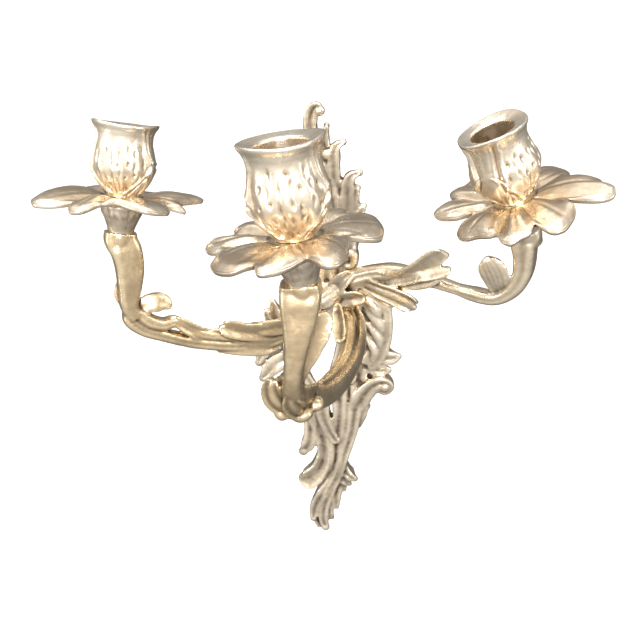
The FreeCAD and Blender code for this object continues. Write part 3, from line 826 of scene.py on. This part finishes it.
def clear_hub(obj, branch):
    """Keep the pan's middle between the cup's foot and the calyx."""
    mesh = obj.data
    co = positions(mesh)
    rel = branch.lip - co / MM
    depth = rel @ branch.axis
    radial = np.linalg.norm(rel - depth[:, None] * branch.axis, axis=1)
    ceiling = PAN_TOP - 9 * np.clip((radial - FLAT_ABOVE) / 12, 0, 1)
    floor = PAN_TOP + PAN_HUB_T + 14 * np.clip((radial - FLAT_BELOW) / 14, 0, 1)
    wanted = np.clip(depth, ceiling, floor)
    put_positions(mesh, co + np.outer(depth - wanted, branch.axis) * MM)


# --- Arms -------------------------------------------------------------------------------------------

def left_arm(b):
    """S-scroll rising as a bevelled block, its root wrapped in leaves."""
    p, side = b.in_plane, b.side
    top, ax = b.arm_top, b.axis
    return [
        # bevelled upright block under the calyx
        bar([top, top - ax * 5, p(112.5, 84, 1), p(113, 74, 1), p(116, 62, 1), p(119.5, 50, 1),
             p(118, 41, 1)], [18.5, 18.8, 18.5, 17, 14.5, 11.5, 10], [13.5, 13, 13, 12.5, 12, 12, 11.5],
            side, box=(4.2, 4.4, 4.6, 4.6, 4.2, 3.4, 2.6)),
        # outer strand sweeping under, down to the root
        bar([p(121, 47), p(121, 39), p(114, 30.5), p(104, 23.5), p(89, 14), p(69, 4.5), p(50, -2),
             p(36, -4.5), p(22, -4)], [7, 9, 8.5, 8.5, 8.5, 9, 10, 10, 9],
            [10, 12, 12, 12, 13, 13, 13, 13, 12], side, box=2.8, grooves=[(0.05, 0.9, 0.16)]),
        # inner strand above it
        bar([p(117, 45, 1), p(111, 37, 2), p(103, 31.5, 2), p(95, 30.5, 2), p(88, 23, 2), p(76, 14.5, 2),
             p(60, 8, 2), p(44, 3, 2)], [8, 9, 8, 7.5, 7, 6.5, 6, 4], [10, 11, 11, 10, 9, 9, 9, 8], side,
            box=2.6, grooves=[(-0.1, 0.7, 0.18)]),
        # root block to the seat
        bar([p(40, 0), p(26, 0.5), p(14, 0), b.seat + OUT * 7, b.seat], [14, 15, 14.5, 14, 13],
            [13, 14, 14, 13.5, 13], side, box=2.5, grooves=[(0.3, 0.8, 0.14), (-0.35, 0.7, 0.12)]),
        # curled-over elbow leaf
        leaf([p(117.5, 42, 2), p(112.5, 46.5, 4.5), p(106, 48.5, 6), p(99.5, 46.5, 6.5), p(95, 41.5, 6)],
             [9, 11, 12.5, 12.5, 10.5], side * 0.9 + UP * 0.3, thick=5,
             bend=(0.0, -0.15, -0.25, -0.3, -0.3), veins=1, vein=0.6, round_tip=1.4),
        # long leaf lying on the run, its tip curled up
        leaf([p(30, 0, 6), p(42, 6, 8), p(53, 10.5, 9), p(62, 15.5, 8.5), p(68.5, 19.5, 7)],
             [10, 13, 13, 12.5, 10], side, thick=3.8, bend=(0, -0.1, -0.1, 0.0, 0.1), veins=1, vein=1.2,
             rim=0.4, round_tip=1.2, clefts=((0.3, 0.12, 0.15),)),
        leaf([p(50, 3, 6), p(60, 10, 7), p(67, 13, 7), p(74, 17.5, 5)], [8, 9, 8, 3.5], side, thick=3.0,
             bend=-0.1, veins=1, vein=0.8, rim=0.3),
        # root leaves
        leaf([p(14, 2, 6.5), p(26, 5, 8), p(38, 8, 8), p(48, 13, 6)], [10, 12, 11, 4], side, thick=3.4,
             bend=-0.12, veins=1, vein=1.0, rim=0.4),
        leaf([p(72, 4, 4), p(54, -2, 7), p(39, -7, 7), p(28, -9.5, 4)], [8, 12, 12, 4], side, thick=3.4,
             bend=-0.15, veins=1, vein=1.0, rim=0.4),
        # side sliver on the outer edge
        leaf([p(121.5, 64, -1), p(123.2, 57, 0), p(123, 51, 1)], [4, 7, 4], side, thick=3, bend=-0.1),
        # leaf lying along the inner strand, its tip lifted
        leaf([p(74, 13, 4), p(84, 20.5, 6), p(91, 28, 6.5), p(98, 35.5, 5)], [8, 9.5, 8.5, 4], side,
             thick=3, bend=0.08, veins=1, vein=0.7, rim=0.4),
    ]


def centre_arm(b):
    """Arm reaching straight out, rising as a bevelled stem behind a smooth spoon leaf."""
    top, ax = b.arm_top, b.axis

    def at(x, y, z):
        return np.array([x, y, z], float)

    knuckle = at(-13.5, -166.5, 32)
    return [
        # bevelled stem, narrowing downwards
        bar([top + at(-1.2, 0, 0), top - ax * 4 + at(-1.4, 0, 0), at(1.6, -171, 80), at(0.2, -172, 73),
             at(-2.2, -173.5, 63), at(-5, -174.5, 53), at(-7.6, -174, 43), at(-9.5, -170.5, 34),
             at(-9, -162, 25), at(-5, -147, 16), at(-2, -132, 8)],
            [18, 19, 18.5, 16.5, 12.8, 10.2, 9.4, 11, 13, 13, 12],
            [14, 13.5, 12.5, 12, 11.5, 11, 11, 12, 13, 13, 13], (OUT, at(-0.1, -0.7, -0.7)),
            box=(4.0, 4.4, 4.6, 4.4, 3.8, 3.0, 2.6, 2.4, 2.4, 2.4, 2.4)),
        # run from the knuckle to the plate: three bands side by side
        bar([at(-7, -156, 21), at(-5, -146, 14.5), at(-1.5, -130, 7.5), at(2, -114, 2.5), at(8, -86, -2),
             at(12.6, -58, -1.5), at(13, -36, 2), at(10, -20, 4), at(9, -12, 4)],
            [13, 14, 14.5, 14.5, 14.5, 14.5, 14.5, 13.5, 13], [13, 13, 13, 13, 12.5, 12.5, 12.5, 13, 13],
            UP + OUT * 0.2, box=2.9, grooves=[(-0.36, 2.3, 0.13), (0.30, 2.5, 0.13), (-0.02, 0.7, 0.08)],
            rows=120, around=56),
        bar([at(-1, -138, 18), at(1, -122, 11), at(4, -104, 5.5), at(8.5, -84, 3), at(11, -62, 4),
             at(11, -44, 8), at(8, -34, 12)], [3, 5.5, 6, 6, 6, 5.5, 3], [4, 6, 6.5, 6.5, 6.5, 6, 4], UP,
            box=2.2, grooves=[(0.1, 0.5, 0.3)]),
        # spoon leaf standing beside the stem
        leaf([at(-8, -168, 36), at(-4.5, -168.5, 44), at(0.5, -168, 52), at(5.5, -167, 60),
              at(9.6, -165.5, 66.5), at(12, -164, 70.5)], [8, 9.5, 11.5, 12.5, 11, 8], at(0.3, -1, 0.15),
             thick=3.4, bend=(0.0, 0.05, 0.14, 0.2, 0.16, 0.05), rim=0.15, round_tip=1.5),
        # curled leaves wrapped round the knuckle
        knob(knuckle, (6.8, 6.5, 9.0), 0.25),
        leaf([at(-6, -164, 22), at(-13, -171, 24), at(-19, -173, 30), at(-20, -173, 37),
              at(-17, -173, 42.5)], [12, 14, 13, 10, 5], at(-0.25, -1, 0.1), thick=3.4,
             bend=(0, -0.2, -0.25, -0.2, 0.05), veins=2, vein=1.3, rim=0.3, clefts=((-0.2, 0.12, 0.2),)),
        leaf([at(-3, -160, 22), at(-7, -171, 22), at(-10, -176, 28), at(-10, -177, 36)], [12, 13, 11, 5],
             at(0.1, -1, 0.0), thick=3.4, bend=(0, -0.2, -0.2, -0.1), veins=2, vein=1.3, rim=0.3),
        knob(at(-18.2, -168, 20.5), (3.2, 3.4, 4.0), 0.5),
        knob(at(-8, -166, 18.0), (6.0, 5.0, 3.8), 0.2),
        knob(at(-1.5, -160, 19.5), (4.5, 5.0, 3.6), 0.0),
        leaf([at(-1, -150, 20), at(-1, -160, 25), at(-2, -167, 30), at(-3.5, -170, 35)], [9, 9, 7, 3.5],
             at(0.6, -0.8, 0.3), thick=3, bend=-0.1, veins=1, vein=0.5, rim=0.2),
        # small curl where the run meets the plate
        leaf([at(4, -60, 4), at(3.5, -48, 8), at(3, -38, 14), at(3.5, -36, 20)], [7, 9, 8, 4],
             at(-0.2, -0.8, 0.5), thick=3.0, bend=0.2, veins=1, vein=0.6, rim=0.3),
    ]


def right_arm(b):
    """Scroll with a looped strap below the calyx, a striped curled leaf and fanned leaves at the root."""
    p, side = b.in_plane, b.side
    top, ax = b.arm_top, b.axis
    return [
        # strap down from the calyx and round the elbow
        bar([top, top - ax * 4, p(139, 62, 0), p(139, 54, 0), p(137.5, 43, 0), p(131.5, 32.5, 0),
             p(120.5, 26, 0), p(107, 27.3, 0), p(95, 30, 0), p(80, 34, 0), p(66, 35.5, 0)],
            [15, 15.2, 14.5, 12.5, 11, 9.5, 8.5, 9, 6.5, 9, 11],
            [13.5, 13, 13, 12.5, 12, 11.5, 11, 10, 9, 10, 11], side,
            box=(2.3, 2.6, 3.8, 3.8, 3.4, 3.0, 2.8, 2.6, 2.6, 2.6, 2.6), grooves=[(-0.1, 0.9, 0.13)]),
        # run to the root
        bar([p(72, 35), p(56, 37), p(40, 35), p(27, 31), p(16, 25.5), b.seat + OUT * 8, b.seat],
            [10, 13, 14, 14.5, 14.5, 14, 13], [11, 12, 13, 13.5, 13.5, 13.5, 13], side, box=2.6,
            grooves=[(0.3, 0.8, 0.14), (-0.35, 0.8, 0.12)]),
        # striped leaf curled over inside the elbow
        leaf([p(125, 28, 2), p(124, 35, 5), p(122.5, 43, 7), p(120, 50, 8), p(118, 54.5, 7)],
             [8, 14, 17.5, 15.5, 11], side, thick=3.2, bend=(0.0, -0.06, -0.12, -0.16, -0.2), veins=6,
             vein=0.4, rim=0.2, round_tip=1.3),
        # fan of leaves standing over the run
        leaf([p(44, 34, 5), p(60, 36.5, 7), p(73, 41.5, 8.5), p(85, 47, 8.5), p(96, 52, 6.5)],
             [9, 11, 13, 18.5, 21], side, thick=3.6, bend=(0, 0.06, 0.12, 0.2, 0.3), veins=1, vein=1.0,
             rim=0.7, round_tip=0.6, clefts=((0.25, 0.16, 0.2),)),
        leaf([p(58, 33.5, 5), p(70, 35, 7.5), p(81, 38, 8), p(91, 42, 6)], [10, 12, 12, 9], side,
             thick=3.4, bend=(0, -0.06, -0.1, -0.1), veins=1, vein=0.7, rim=0.3, round_tip=1.1),
        # leaf hanging below the run, and its side lobe
        leaf([p(32, 30, 5), p(45, 27, 7.5), p(56, 24, 8), p(65, 20, 7.5), p(70.5, 15.5, 6)],
             [9, 11.5, 13, 14, 12], side, thick=3.6, bend=(0, 0.06, 0.1, 0.12, 0.14), veins=2, vein=0.8,
             rim=0.5, round_tip=1.1, clefts=((-0.3, 0.14, 0.14),)),
        leaf([p(38, 28, 4), p(45, 23.5, 6.5), p(50.5, 18.5, 6.5), p(53.5, 14.5, 5)], [8, 8.5, 7, 3.5],
             side, thick=3.0, bend=0.08, veins=1, vein=0.6, rim=0.4),
        # root leaves
        leaf([p(8, 24, 6), p(15, 29, 8), p(21, 34, 8), p(26.5, 37.5, 6)], [10, 12, 10, 5], side,
             thick=3.4, bend=0.08, veins=1, vein=1.0, rim=0.5),
        leaf([p(8, 15, 6), p(18, 18, 8), p(27, 20, 8), p(34, 20, 6)], [9, 11, 11, 6], side, thick=3.4,
             bend=0.08, veins=1, vein=1.0, rim=0.5),
    ]


ARMS = {"left": left_arm, "centre": centre_arm, "right": right_arm}
NEAR_STACK = 22                    # how far from the stack's axis an arm is kept below the calyx


def make_arm(branch):
    """Arm from its seat on the plate to the collar under its calyx."""
    shells = ARMS[branch.name](branch)
    a = np.linspace(0, 2 * math.pi, 40, endpoint=False)
    pad = [[branch.seat + OUT * d + np.array([r * math.cos(b), 0, r * math.sin(b)]) for b in a]
           for r, d in ((6.9, 0.0), (7.0, 6.0), (6.6, 12.0))]
    shells.append(ring_shell(np.array(pad)))
    collar = [(r, ARM_TOP + d) for r, d in ((7.6, 0.0), (7.5, 4.0), (6.6, 10.0))]
    shells.append(ring_shell(branch.rings(a, collar)))
    arm = object_from(branch.name + "_arm_look", shells)
    weld(arm, voxel=0.72)
    soften(arm, steps=6)
    roughen(arm, amount=0.22, seed=branch.lip[2] * 1.7)
    keep_under(arm, branch)
    return finish_piece(arm, branch.name + "_arm", "root", "arm_bronze",
                        material=GREYER_ARM if branch.name == "right" else None)


def keep_under(obj, branch):
    """Keep an arm below its calyx and in front of its seat."""
    mesh = obj.data
    co = positions(mesh)
    depth = (branch.lip - co / MM) @ branch.axis
    near = np.linalg.norm(branch.lip - co / MM - depth[:, None] * branch.axis, axis=1) < NEAR_STACK
    over = np.where(near, np.minimum(depth - ARM_TOP - 0.05, 0), 0)
    co = co + np.outer(over, branch.axis) * MM
    co[:, 1] = np.minimum(co[:, 1], (SEAT_Y - 0.02) * MM)
    put_positions(mesh, co)


# --- Backplate --------------------------------------------------------------------------------------

WALL_GAP = -0.4                    # y of the castings' backs
WALL_HOLES = (-50, 50)             # heights of the two wall screws
WALL_HOLE_R = 2.3
SEAT_PAD_R = 8.0
SEAT_R = 7.6                       # kept flat under each arm
POCKET_R = 5.4                     # screw pocket behind each seat
POCKET_DEPTH = 8.5
BEHIND = 3.0                       # where the drills start, behind the wall


def on_plate(*points):
    """Points on the plate given as x, z and the depth of the face in front of the wall."""
    return [np.array([x, -y, z], float) for x, z, y in points]


def rib(points, widths, face=OUT, **more):
    """Leaf of the backplate, solid back to the wall."""
    settings = dict(thick=3.0, bend=-0.16, veins=1, vein=1.3, to_wall=True, rows=64, cols=25)
    settings.update(more)
    return leaf(on_plate(*points), widths, face, **settings)


LEFT_OUT = unit((-0.25, -1, 0))

# Rolled tips of the leaves: x, z, depth of the face and radius.
TIPS = [(8, 140, 10, 3.0), (11, 130.5, 10, 1.9), (20, 119, 11, 2.2), (27.6, 98.4, 11.5, 2.4),
        (25.3, 88.4, 10, 1.9), (28, 75.8, 10, 2.1), (-17.5, 113.8, 10, 2.2), (-25, 89.3, 10, 2.3),
        (-30.4, 62.4, 10, 2.4), (36.3, 8.6, 11.5, 2.0), (38.3, -38, 12, 2.5), (30, -49, 11, 2.6),
        (26.5, -61.5, 14, 3.6), (11, -78, 11, 2.4), (-7, -144.4, 11, 2.4), (-12, -149.8, 10, 2.0),
        (-25.6, -172, 10, 2.0), (-31.3, -183.6, 9, 2.0), (-37.8, -191, 11, 3.2),
        (-46.3, -181, 11, 2.6), (-43.5, -113, 12, 3.4), (-64.6, -32.6, 10, 2.6), (-64, -46, 10, 2.6),
        (-59.8, -72.8, 10, 2.8), (-47, -81.8, 9, 2.6), (-44.6, 15, 11, 2.4), (-51, 8.2, 10, 2.2)]


def plate_shells():
    """Every leaf, rib, scroll and rolled tip of the backplate."""
    return [
        # upper plume: main stem and its curled top
        rib([(-4, 22, 11), (-4, 40, 12), (-2, 60, 12.5), (0, 80, 12.5), (1.5, 100, 12), (1, 115, 11),
             (0, 128, 10), (1.5, 137, 10), (5, 142, 11), (9, 141.5, 12)],
            [13, 13, 12.5, 12, 10.5, 9.5, 9, 9, 8, 5.5], vein=1.8, rows=110),
        rib([(-11, 24, 10), (-11, 42, 11.5), (-8, 62, 12), (-5.5, 82, 11.5), (-3.5, 100, 11),
             (-3, 116, 10)], [11, 10.5, 10, 9, 7, 4], rows=90),
        rib([(4, 24, 10), (5, 42, 11.5), (7, 62, 12), (8, 80, 11.5), (7.5, 98, 11), (6, 112, 10.5)],
            [9, 9, 8.5, 7.5, 6, 4], rows=90),
        rib([(5, 104, 9), (7, 114, 10), (8.5, 123, 11), (11.5, 131, 11.5)], [7, 7, 6, 2.5]),
        rib([(10, 78, 9), (10.5, 92, 11), (12, 106, 12.5), (14.5, 116, 13), (20.5, 119.5, 12)],
            [10, 9, 8, 6.5, 3]),
        rib([(11, 98, 9), (13.5, 108, 11), (16, 114, 11)], [6, 6, 3]),
        rib([(14, 56, 9), (16.5, 72, 11), (18.5, 87, 12.5), (21.5, 96, 13), (28.3, 98.8, 12.5)],
            [10, 10, 9, 7, 3.5]),
        rib([(17, 62, 9), (20.5, 75, 11), (23, 83, 11.5), (25.7, 89, 11)], [8, 8, 6, 3]),
        rib([(15, 46, 9), (19.5, 58, 11), (24, 69, 11.5), (28.6, 76.4, 11)], [9, 9, 7, 3]),
        rib([(9, 18, 10), (13, 32, 12), (15.5, 46, 12.5), (16, 60, 11)], [9, 8.5, 8, 6.5]),
        knob((8.5, -11.5, 113), (3.2, 2.6, 3.6), 0.3),
        # small scroll beside the stem
        rib([(12, 34, 13), (16.5, 38, 14.5), (17, 44, 15), (12.5, 46.5, 15), (10, 42.5, 14.5),
             (13, 41, 14)], [5, 5.5, 5.5, 5, 4.5, 4], veins=0, bend=-0.2),
        # left-hand tips
        rib([(-1, 104, 9), (-4, 114, 10.5), (-6, 123, 11), (-7.5, 130, 10)], [7, 7, 6, 3]),
        rib([(-5, 78, 9), (-9, 94, 11), (-13, 107, 12), (-18, 114.5, 11)], [10, 9.5, 7.5, 3]),
        rib([(-8, 54, 9), (-14, 70, 11), (-19, 82, 12), (-25.5, 90, 11)], [11, 10, 8, 3]),
        rib([(-10, 32, 9), (-17, 45, 11), (-23, 56, 12), (-31, 63, 11)], [12, 11, 8, 3]),
        rib([(-12, 10, 9), (-20, 20, 11), (-26, 27, 11), (-32, 31, 10)], [13, 12, 8, 3.5]),
        # shell on the right: two rims with a hollow and four feathered lobes between them
        rib([(14, 22, 11), (21, 17, 12), (30, 10.5, 13), (34.5, 2, 13.5), (34.5, -12, 13.5),
             (31.5, -26, 13), (25, -38, 12.5), (16, -46, 11)], [8, 8, 7, 6.5, 6, 6.5, 7, 7], veins=1,
            vein=0.5, bend=-0.2, rows=100),
        rib([(22, 15, 11), (30, 11.5, 12), (37, 9, 12.5)], [7, 6, 2.5]),
        rib([(12, 18, 11), (19, 10, 12), (24.5, -2, 12), (25, -16, 12), (21, -30, 11.5), (13, -42, 11)],
            [8, 7, 6, 6, 6, 7], veins=1, vein=0.5, bend=-0.2, rows=90),
        rib([(16, 8, 7), (28, 2, 8), (29.5, -12, 8), (26, -28, 8), (17, -42, 8)], [12, 14, 13, 12, 10],
            veins=0, bend=0, rows=60),
        rib([(16, 14, 10), (22, 9, 13), (27.5, 1, 14.5), (29.5, -8, 12.5)], [6, 7.5, 7.5, 4], veins=0,
            bend=-0.45),
        rib([(19, 4, 10), (24, -2, 13), (29, -11, 14.5), (30, -20, 12.5)], [6.5, 8, 7.5, 4], veins=0,
            bend=-0.45),
        rib([(20, -8, 10), (24, -14, 13), (27, -22, 14.5), (26.5, -31, 12.5)], [6.5, 7.5, 7, 4], veins=0,
            bend=-0.45),
        rib([(18, -19, 10), (21, -25, 13), (22.5, -32, 14), (20.5, -40, 12)], [6, 7, 6.5, 4], veins=0,
            bend=-0.45),
        rib([(20, -32, 10), (27, -36.5, 12), (33, -38.5, 13), (39.3, -37, 13)], [10, 11.5, 10.5, 7]),
        rib([(16, -44, 10), (23, -47.5, 12), (30.8, -48.5, 12)], [10, 11, 8]),
        # body behind the seats
        rib([(-6, 30, 8), (2, 12, 9.5), (4, -6, 9.5)], [30, 34, 22], veins=0, bend=-0.05, rows=50, cols=41),
        rib([(8, 8, 8), (12, -10, 9), (11, -30, 9), (4, -52, 9), (0, -78, 8.5), (-4, -100, 8)],
            [22, 24, 22, 18, 12, 9], veins=0, bend=-0.05),
        # big curl under the shell
        rib([(2, -84, 11), (5, -76, 12.5), (10, -67, 13.5), (18, -59.5, 14.5), (25, -57.5, 15),
             (29.3, -61, 15), (26, -65, 14.5), (21.5, -63, 14)], [13, 14, 13.5, 12, 10, 8, 6, 4.5],
            vein=1.6, rows=90),
        rib([(0, -96, 9), (4, -88, 11), (8, -81, 12), (11.5, -77.5, 12)], [8, 9, 7, 3.5]),
        # band beside the gap
        rib([(5, -4, 11), (2.5, -20, 12), (-2.5, -36, 12.5), (-9, -52, 12.5), (-16, -70, 12)],
            [12, 12, 12.5, 12.5, 12], veins=2, rows=90),
        # scroll left of the gap
        rib([(-10, 14, 11), (-24, 7, 12.5), (-33, -6, 13.5), (-37, -24, 14), (-34, -44, 13.5),
             (-27, -62, 12.5)], [14, 15, 14.5, 13.5, 12.5, 11], veins=2, rows=100),
        # wing
        rib([(-36, -20, 10), (-42, -8, 12), (-44.5, 5, 12.5), (-44.8, 16, 12)], [11, 11, 10, 4.5],
            LEFT_OUT),
        rib([(-41, -22, 10), (-48, -9, 12), (-51.5, 9, 11)], [10, 9, 4], LEFT_OUT),
        rib([(-38, -12, 9), (-50, -14, 11.5), (-58, -21, 12), (-65.5, -33, 11)], [14, 14, 11, 4], LEFT_OUT),
        rib([(-38, -30, 9), (-51, -34, 11.5), (-59, -40, 12), (-65, -46.5, 11)], [14, 14, 11, 4], LEFT_OUT),
        rib([(-34, -44, 9), (-47, -53, 11.5), (-54, -62, 12), (-60.5, -73.5, 11)], [15, 15, 12, 4.5],
            LEFT_OUT),
        rib([(-28, -56, 9), (-37, -67, 11), (-42, -75, 11), (-47.5, -82.5, 10)], [13, 13, 10, 4.5],
            LEFT_OUT),
        rib([(-38, -40, 8), (-50, -62, 9), (-55, -77, 9)], [14, 16, 6], LEFT_OUT),
        # tail stems
        rib([(10, -46, 10), (6, -64, 11.5), (1, -82, 12), (-3, -98, 12), (-8.5, -112, 12),
             (-14.5, -126, 12), (-20.5, -140, 12), (-28, -153, 12), (-34.5, -167, 12), (-38, -181, 12),
             (-37.5, -192.5, 12)], [11, 11, 10, 9, 8.5, 8, 8, 8.5, 8, 7.5, 6.5], vein=1.5, rows=150,
            round_tip=1.2),
        rib([(-8, -60, 10), (-10, -80, 11.5), (-14, -98, 12), (-17.5, -114, 12), (-20, -130, 12),
             (-25, -144, 11.5), (-36, -158, 12), (-43, -169, 12), (-46.7, -182, 12)],
            [12, 11, 10, 10, 9.5, 10, 10, 8.5, 4.5], vein=1.5, rows=130),
        rib([(-20, -66, 11), (-23, -80, 12.5), (-21, -94, 13), (-15.5, -108, 13.5)], [10, 10, 8.5, 5]),
        rib([(-27, -60, 10), (-30, -78, 11.5), (-29, -92, 12), (-27, -106, 12.5), (-28.5, -119, 13),
             (-34, -130.5, 13.5), (-43, -138, 14), (-51.5, -139, 14)], [12, 11, 10.5, 10, 11, 14, 19, 19],
            vein=1.2, rows=120, round_tip=1.5, rim=0.7,
            bend=(-0.16, -0.16, -0.16, -0.1, 0, 0.1, 0.25, 0.3)),
        rib([(-31, -64, 10), (-34, -80, 11.5), (-35, -92, 12.5), (-37.5, -104, 13.5),
             (-43, -112.5, 13.5)], [10, 9.5, 9, 11, 13], vein=1.6, round_tip=1.2),
        # bright rib beside the lower curl
        rib([(-22, -96, 12), (-21.5, -110, 13), (-24, -124, 13.5), (-31, -137, 13), (-38, -146, 12)],
            [5, 5.5, 5.5, 5, 4], veins=0, bend=-0.3),
        rib([(-16, -130, 9), (-13, -138.5, 11), (-9.5, -142.5, 12), (-6, -144.7, 12)], [8, 8, 7, 4]),
        rib([(-19, -138, 9), (-15.5, -146, 11), (-11.7, -150.4, 11)], [8, 7.5, 3.5]),
        rib([(-21, -144, 9), (-23.5, -156, 11), (-25, -165, 11.5), (-25.7, -173, 11)], [9, 9, 7, 3]),
        rib([(-20, -148, 9), (-18, -153, 10), (-16.2, -157, 10)], [7, 6, 3]),
        rib([(-28, -154, 9), (-31, -166, 11), (-32, -176, 11), (-31.3, -184.5, 10)], [9, 8, 6, 3]),
        rib([(-42, -176, 9), (-43.5, -185, 10), (-43.2, -192.5, 9.5)], [8, 6, 3]),
    ] + [knob((x, 1.6 - y, z), (1.15 * r, 0.8 * r, 1.15 * r)) for x, z, y, r in TIPS]


def disc(x, z, radius, back, front):
    """Round boss between two depths in front of the wall."""
    a = np.linspace(0, 2 * math.pi, 40, endpoint=False)
    return ring_shell(np.array([[(x + radius * math.cos(b), -y, z + radius * math.sin(b)) for b in a]
                                for y in (back, front)]))


def make_plate(branches):
    """Openwork backplate with its flat seats, wall holes and screw pockets."""
    shells = plate_shells()
    for branch in branches:
        shells.append(disc(branch.seat[0], branch.seat[2], SEAT_PAD_R, 0.5, -SEAT_Y - 0.4))
    for z in WALL_HOLES:
        shells.append(disc(0, z, 7.0, 0.5, 12.2))
    plate = object_from("backplate_look", shells)
    weld(plate, voxel=0.85)
    soften(plate, steps=8)
    roughen(plate, amount=0.3, seed=4.2)
    mesh = plate.data
    co = positions(mesh)
    co[:, 1] = np.minimum(co[:, 1], -0.3 * MM)
    for branch in branches:
        near = np.hypot(co[:, 0] / MM - branch.seat[0], co[:, 2] / MM - branch.seat[2]) < SEAT_R
        co[near, 1] = np.maximum(co[near, 1], (SEAT_Y + 0.02) * MM)
    put_positions(mesh, co)
    for z in WALL_HOLES:
        drill(plate, np.array([0.0, BEHIND, z]), OUT, WALL_HOLE_R, 30)
    for branch in branches:
        drill(plate, np.array([branch.seat[0], BEHIND, branch.seat[2]]), OUT, POCKET_R, POCKET_DEPTH)
    return finish_piece(plate, "backplate", "root", "backplate_bronze")


# --- Assembly ---------------------------------------------------------------------------------------

branches = [Branch(name) for name in ("left", "centre", "right")]
for branch in branches:
    make_cup(branch)
    make_calyx(branch)
    make_pan(branch)
    make_arm(branch)
make_plate(branches)

for name in ("left", "centre", "right"):
    for node, slot in ((name + "_stud", "stud_brass"), (name + "_arm_screw", "fixing_steel"),
                       (name + "_arm_washer", "fixing_steel")):
        kept = frame["nodes"][node]
        kept.data.materials.clear()
        kept.data.materials.append(MATERIALS[slot])


# --- Studio -----------------------------------------------------------------------------------------

def paper():
    s = Shader("studio_paper")
    where = s.add("ShaderNodeTexCoord").outputs["Object"]
    fleck = s.noise(where, 4, 3)
    s.link(s.ramp(fleck, (0.3, (0.88, 0.88, 0.88)), (0.7, (0.91, 0.91, 0.91))), s.bsdf.inputs["Base Color"])
    s.bsdf.inputs["Roughness"].default_value = 0.9
    return s.material


FLOOR_Z = -0.30
SWEEP_R = 0.9


def make_floor():
    """Pale sheet below and behind the sconce, curved up like a studio sweep."""
    xs = np.linspace(-3, 3, 13)
    sweep = [(y, FLOOR_Z) for y in (-3.0, -1.5, -0.35, 0.4, 0.8)]
    sweep += [(0.8 + SWEEP_R * math.sin(t), FLOOR_Z + SWEEP_R * (1 - math.cos(t)))
              for t in np.linspace(0.1, math.pi / 2, 12)]
    sweep += [(1.7, 1.4), (1.7, 3.0)]
    verts = [(x, y, z) for y, z in sweep for x in xs]
    n = len(xs)
    faces = [(i * n + j, i * n + j + 1, (i + 1) * n + j + 1, (i + 1) * n + j)
             for i in range(len(sweep) - 1) for j in range(n - 1)]
    mesh = bpy.data.meshes.new("floor")
    mesh.from_pydata(verts, [], faces)
    mesh.polygons.foreach_set("use_smooth", [True] * len(faces))
    mesh.materials.append(paper())
    floor = bpy.data.objects.new("floor", mesh)
    bpy.context.scene.collection.objects.link(floor)
    floor.visible_glossy = False           # the metal mirrors the studio alone, not the white sheet


def softbox(name, place, target, size, power, colour=(1, 1, 1)):
    light = bpy.data.lights.new(name, "AREA")
    light.shape = "RECTANGLE"
    light.size, light.size_y = size
    light.energy = power
    light.color = colour
    obj = bpy.data.objects.new(name, light)
    bpy.context.scene.collection.objects.link(obj)
    obj.location = place
    obj.rotation_euler = (Vector(target) - Vector(place)).to_track_quat("-Z", "Y").to_euler()


make_floor()
CENTRE = (0.0, -0.07, 0.0)
softbox("front", (0.10, -1.15, 0.55), CENTRE, (0.4, 0.7), 14)
softbox("left", (-1.2, -0.8, 0.5), CENTRE, (0.5, 1.2), 4.5, (1.0, 0.98, 0.95))
softbox("right", (1.2, -0.6, 0.3), CENTRE, (0.4, 1.2), 3.5, (0.96, 0.98, 1.0))
softbox("over", (0.0, -0.3, 1.3), CENTRE, (1.0, 0.6), 5)
softbox("backdrop", (0.0, 0.35, 1.3), (0.0, 1.6, 0.35), (2.4, 0.4), 13)

world = bpy.data.worlds.new("studio")
world.use_nodes = True
nodes, links = world.node_tree.nodes, world.node_tree.links
nodes["Background"].inputs["Color"].default_value = (1.0, 0.98, 0.95, 1.0)
# a studio that is bright in front of and above the sconce, and dim behind and below it
facing = nodes.new("ShaderNodeVectorMath")
facing.operation = "DOT_PRODUCT"
facing.inputs[1].default_value = (0.0, -0.80, 0.60)
fall = nodes.new("ShaderNodeMapRange")
for key, number in (("From Min", -0.92), ("From Max", 0.9), ("To Min", 0.16), ("To Max", 1.05)):
    fall.inputs[key].default_value = number
links.new(nodes.new("ShaderNodeTexCoord").outputs["Generated"], facing.inputs[0])
links.new(facing.outputs["Value"], fall.inputs["Value"])
links.new(fall.outputs["Result"], nodes["Background"].inputs["Strength"])
bpy.context.scene.world = world
bpy.context.scene.view_settings.view_transform = "Standard"

CAMERA_AT = (0.0479, -0.4473, 0.1940)
AZIMUTH, PITCH, ROLL = (math.radians(v) for v in (8.0, 24.0, 9.5))
away = Vector((-math.sin(AZIMUTH) * math.cos(PITCH), math.cos(AZIMUTH) * math.cos(PITCH), -math.sin(PITCH)))
level = Vector((math.cos(AZIMUTH), math.sin(AZIMUTH), 0))
raised = level.cross(away)
right = level * math.cos(ROLL) - raised * math.sin(ROLL)
above = level * math.sin(ROLL) + raised * math.cos(ROLL)
lens = bpy.data.cameras.new("camera")
lens.lens = 38.0
lens.sensor_width = 36.0
camera = bpy.data.objects.new("camera", lens)
bpy.context.scene.collection.objects.link(camera)
rows = [(right[i], above[i], -away[i], CAMERA_AT[i]) for i in range(3)]
camera.matrix_world = Matrix(rows + [(0, 0, 0, 1)])
bpy.context.scene.camera = camera
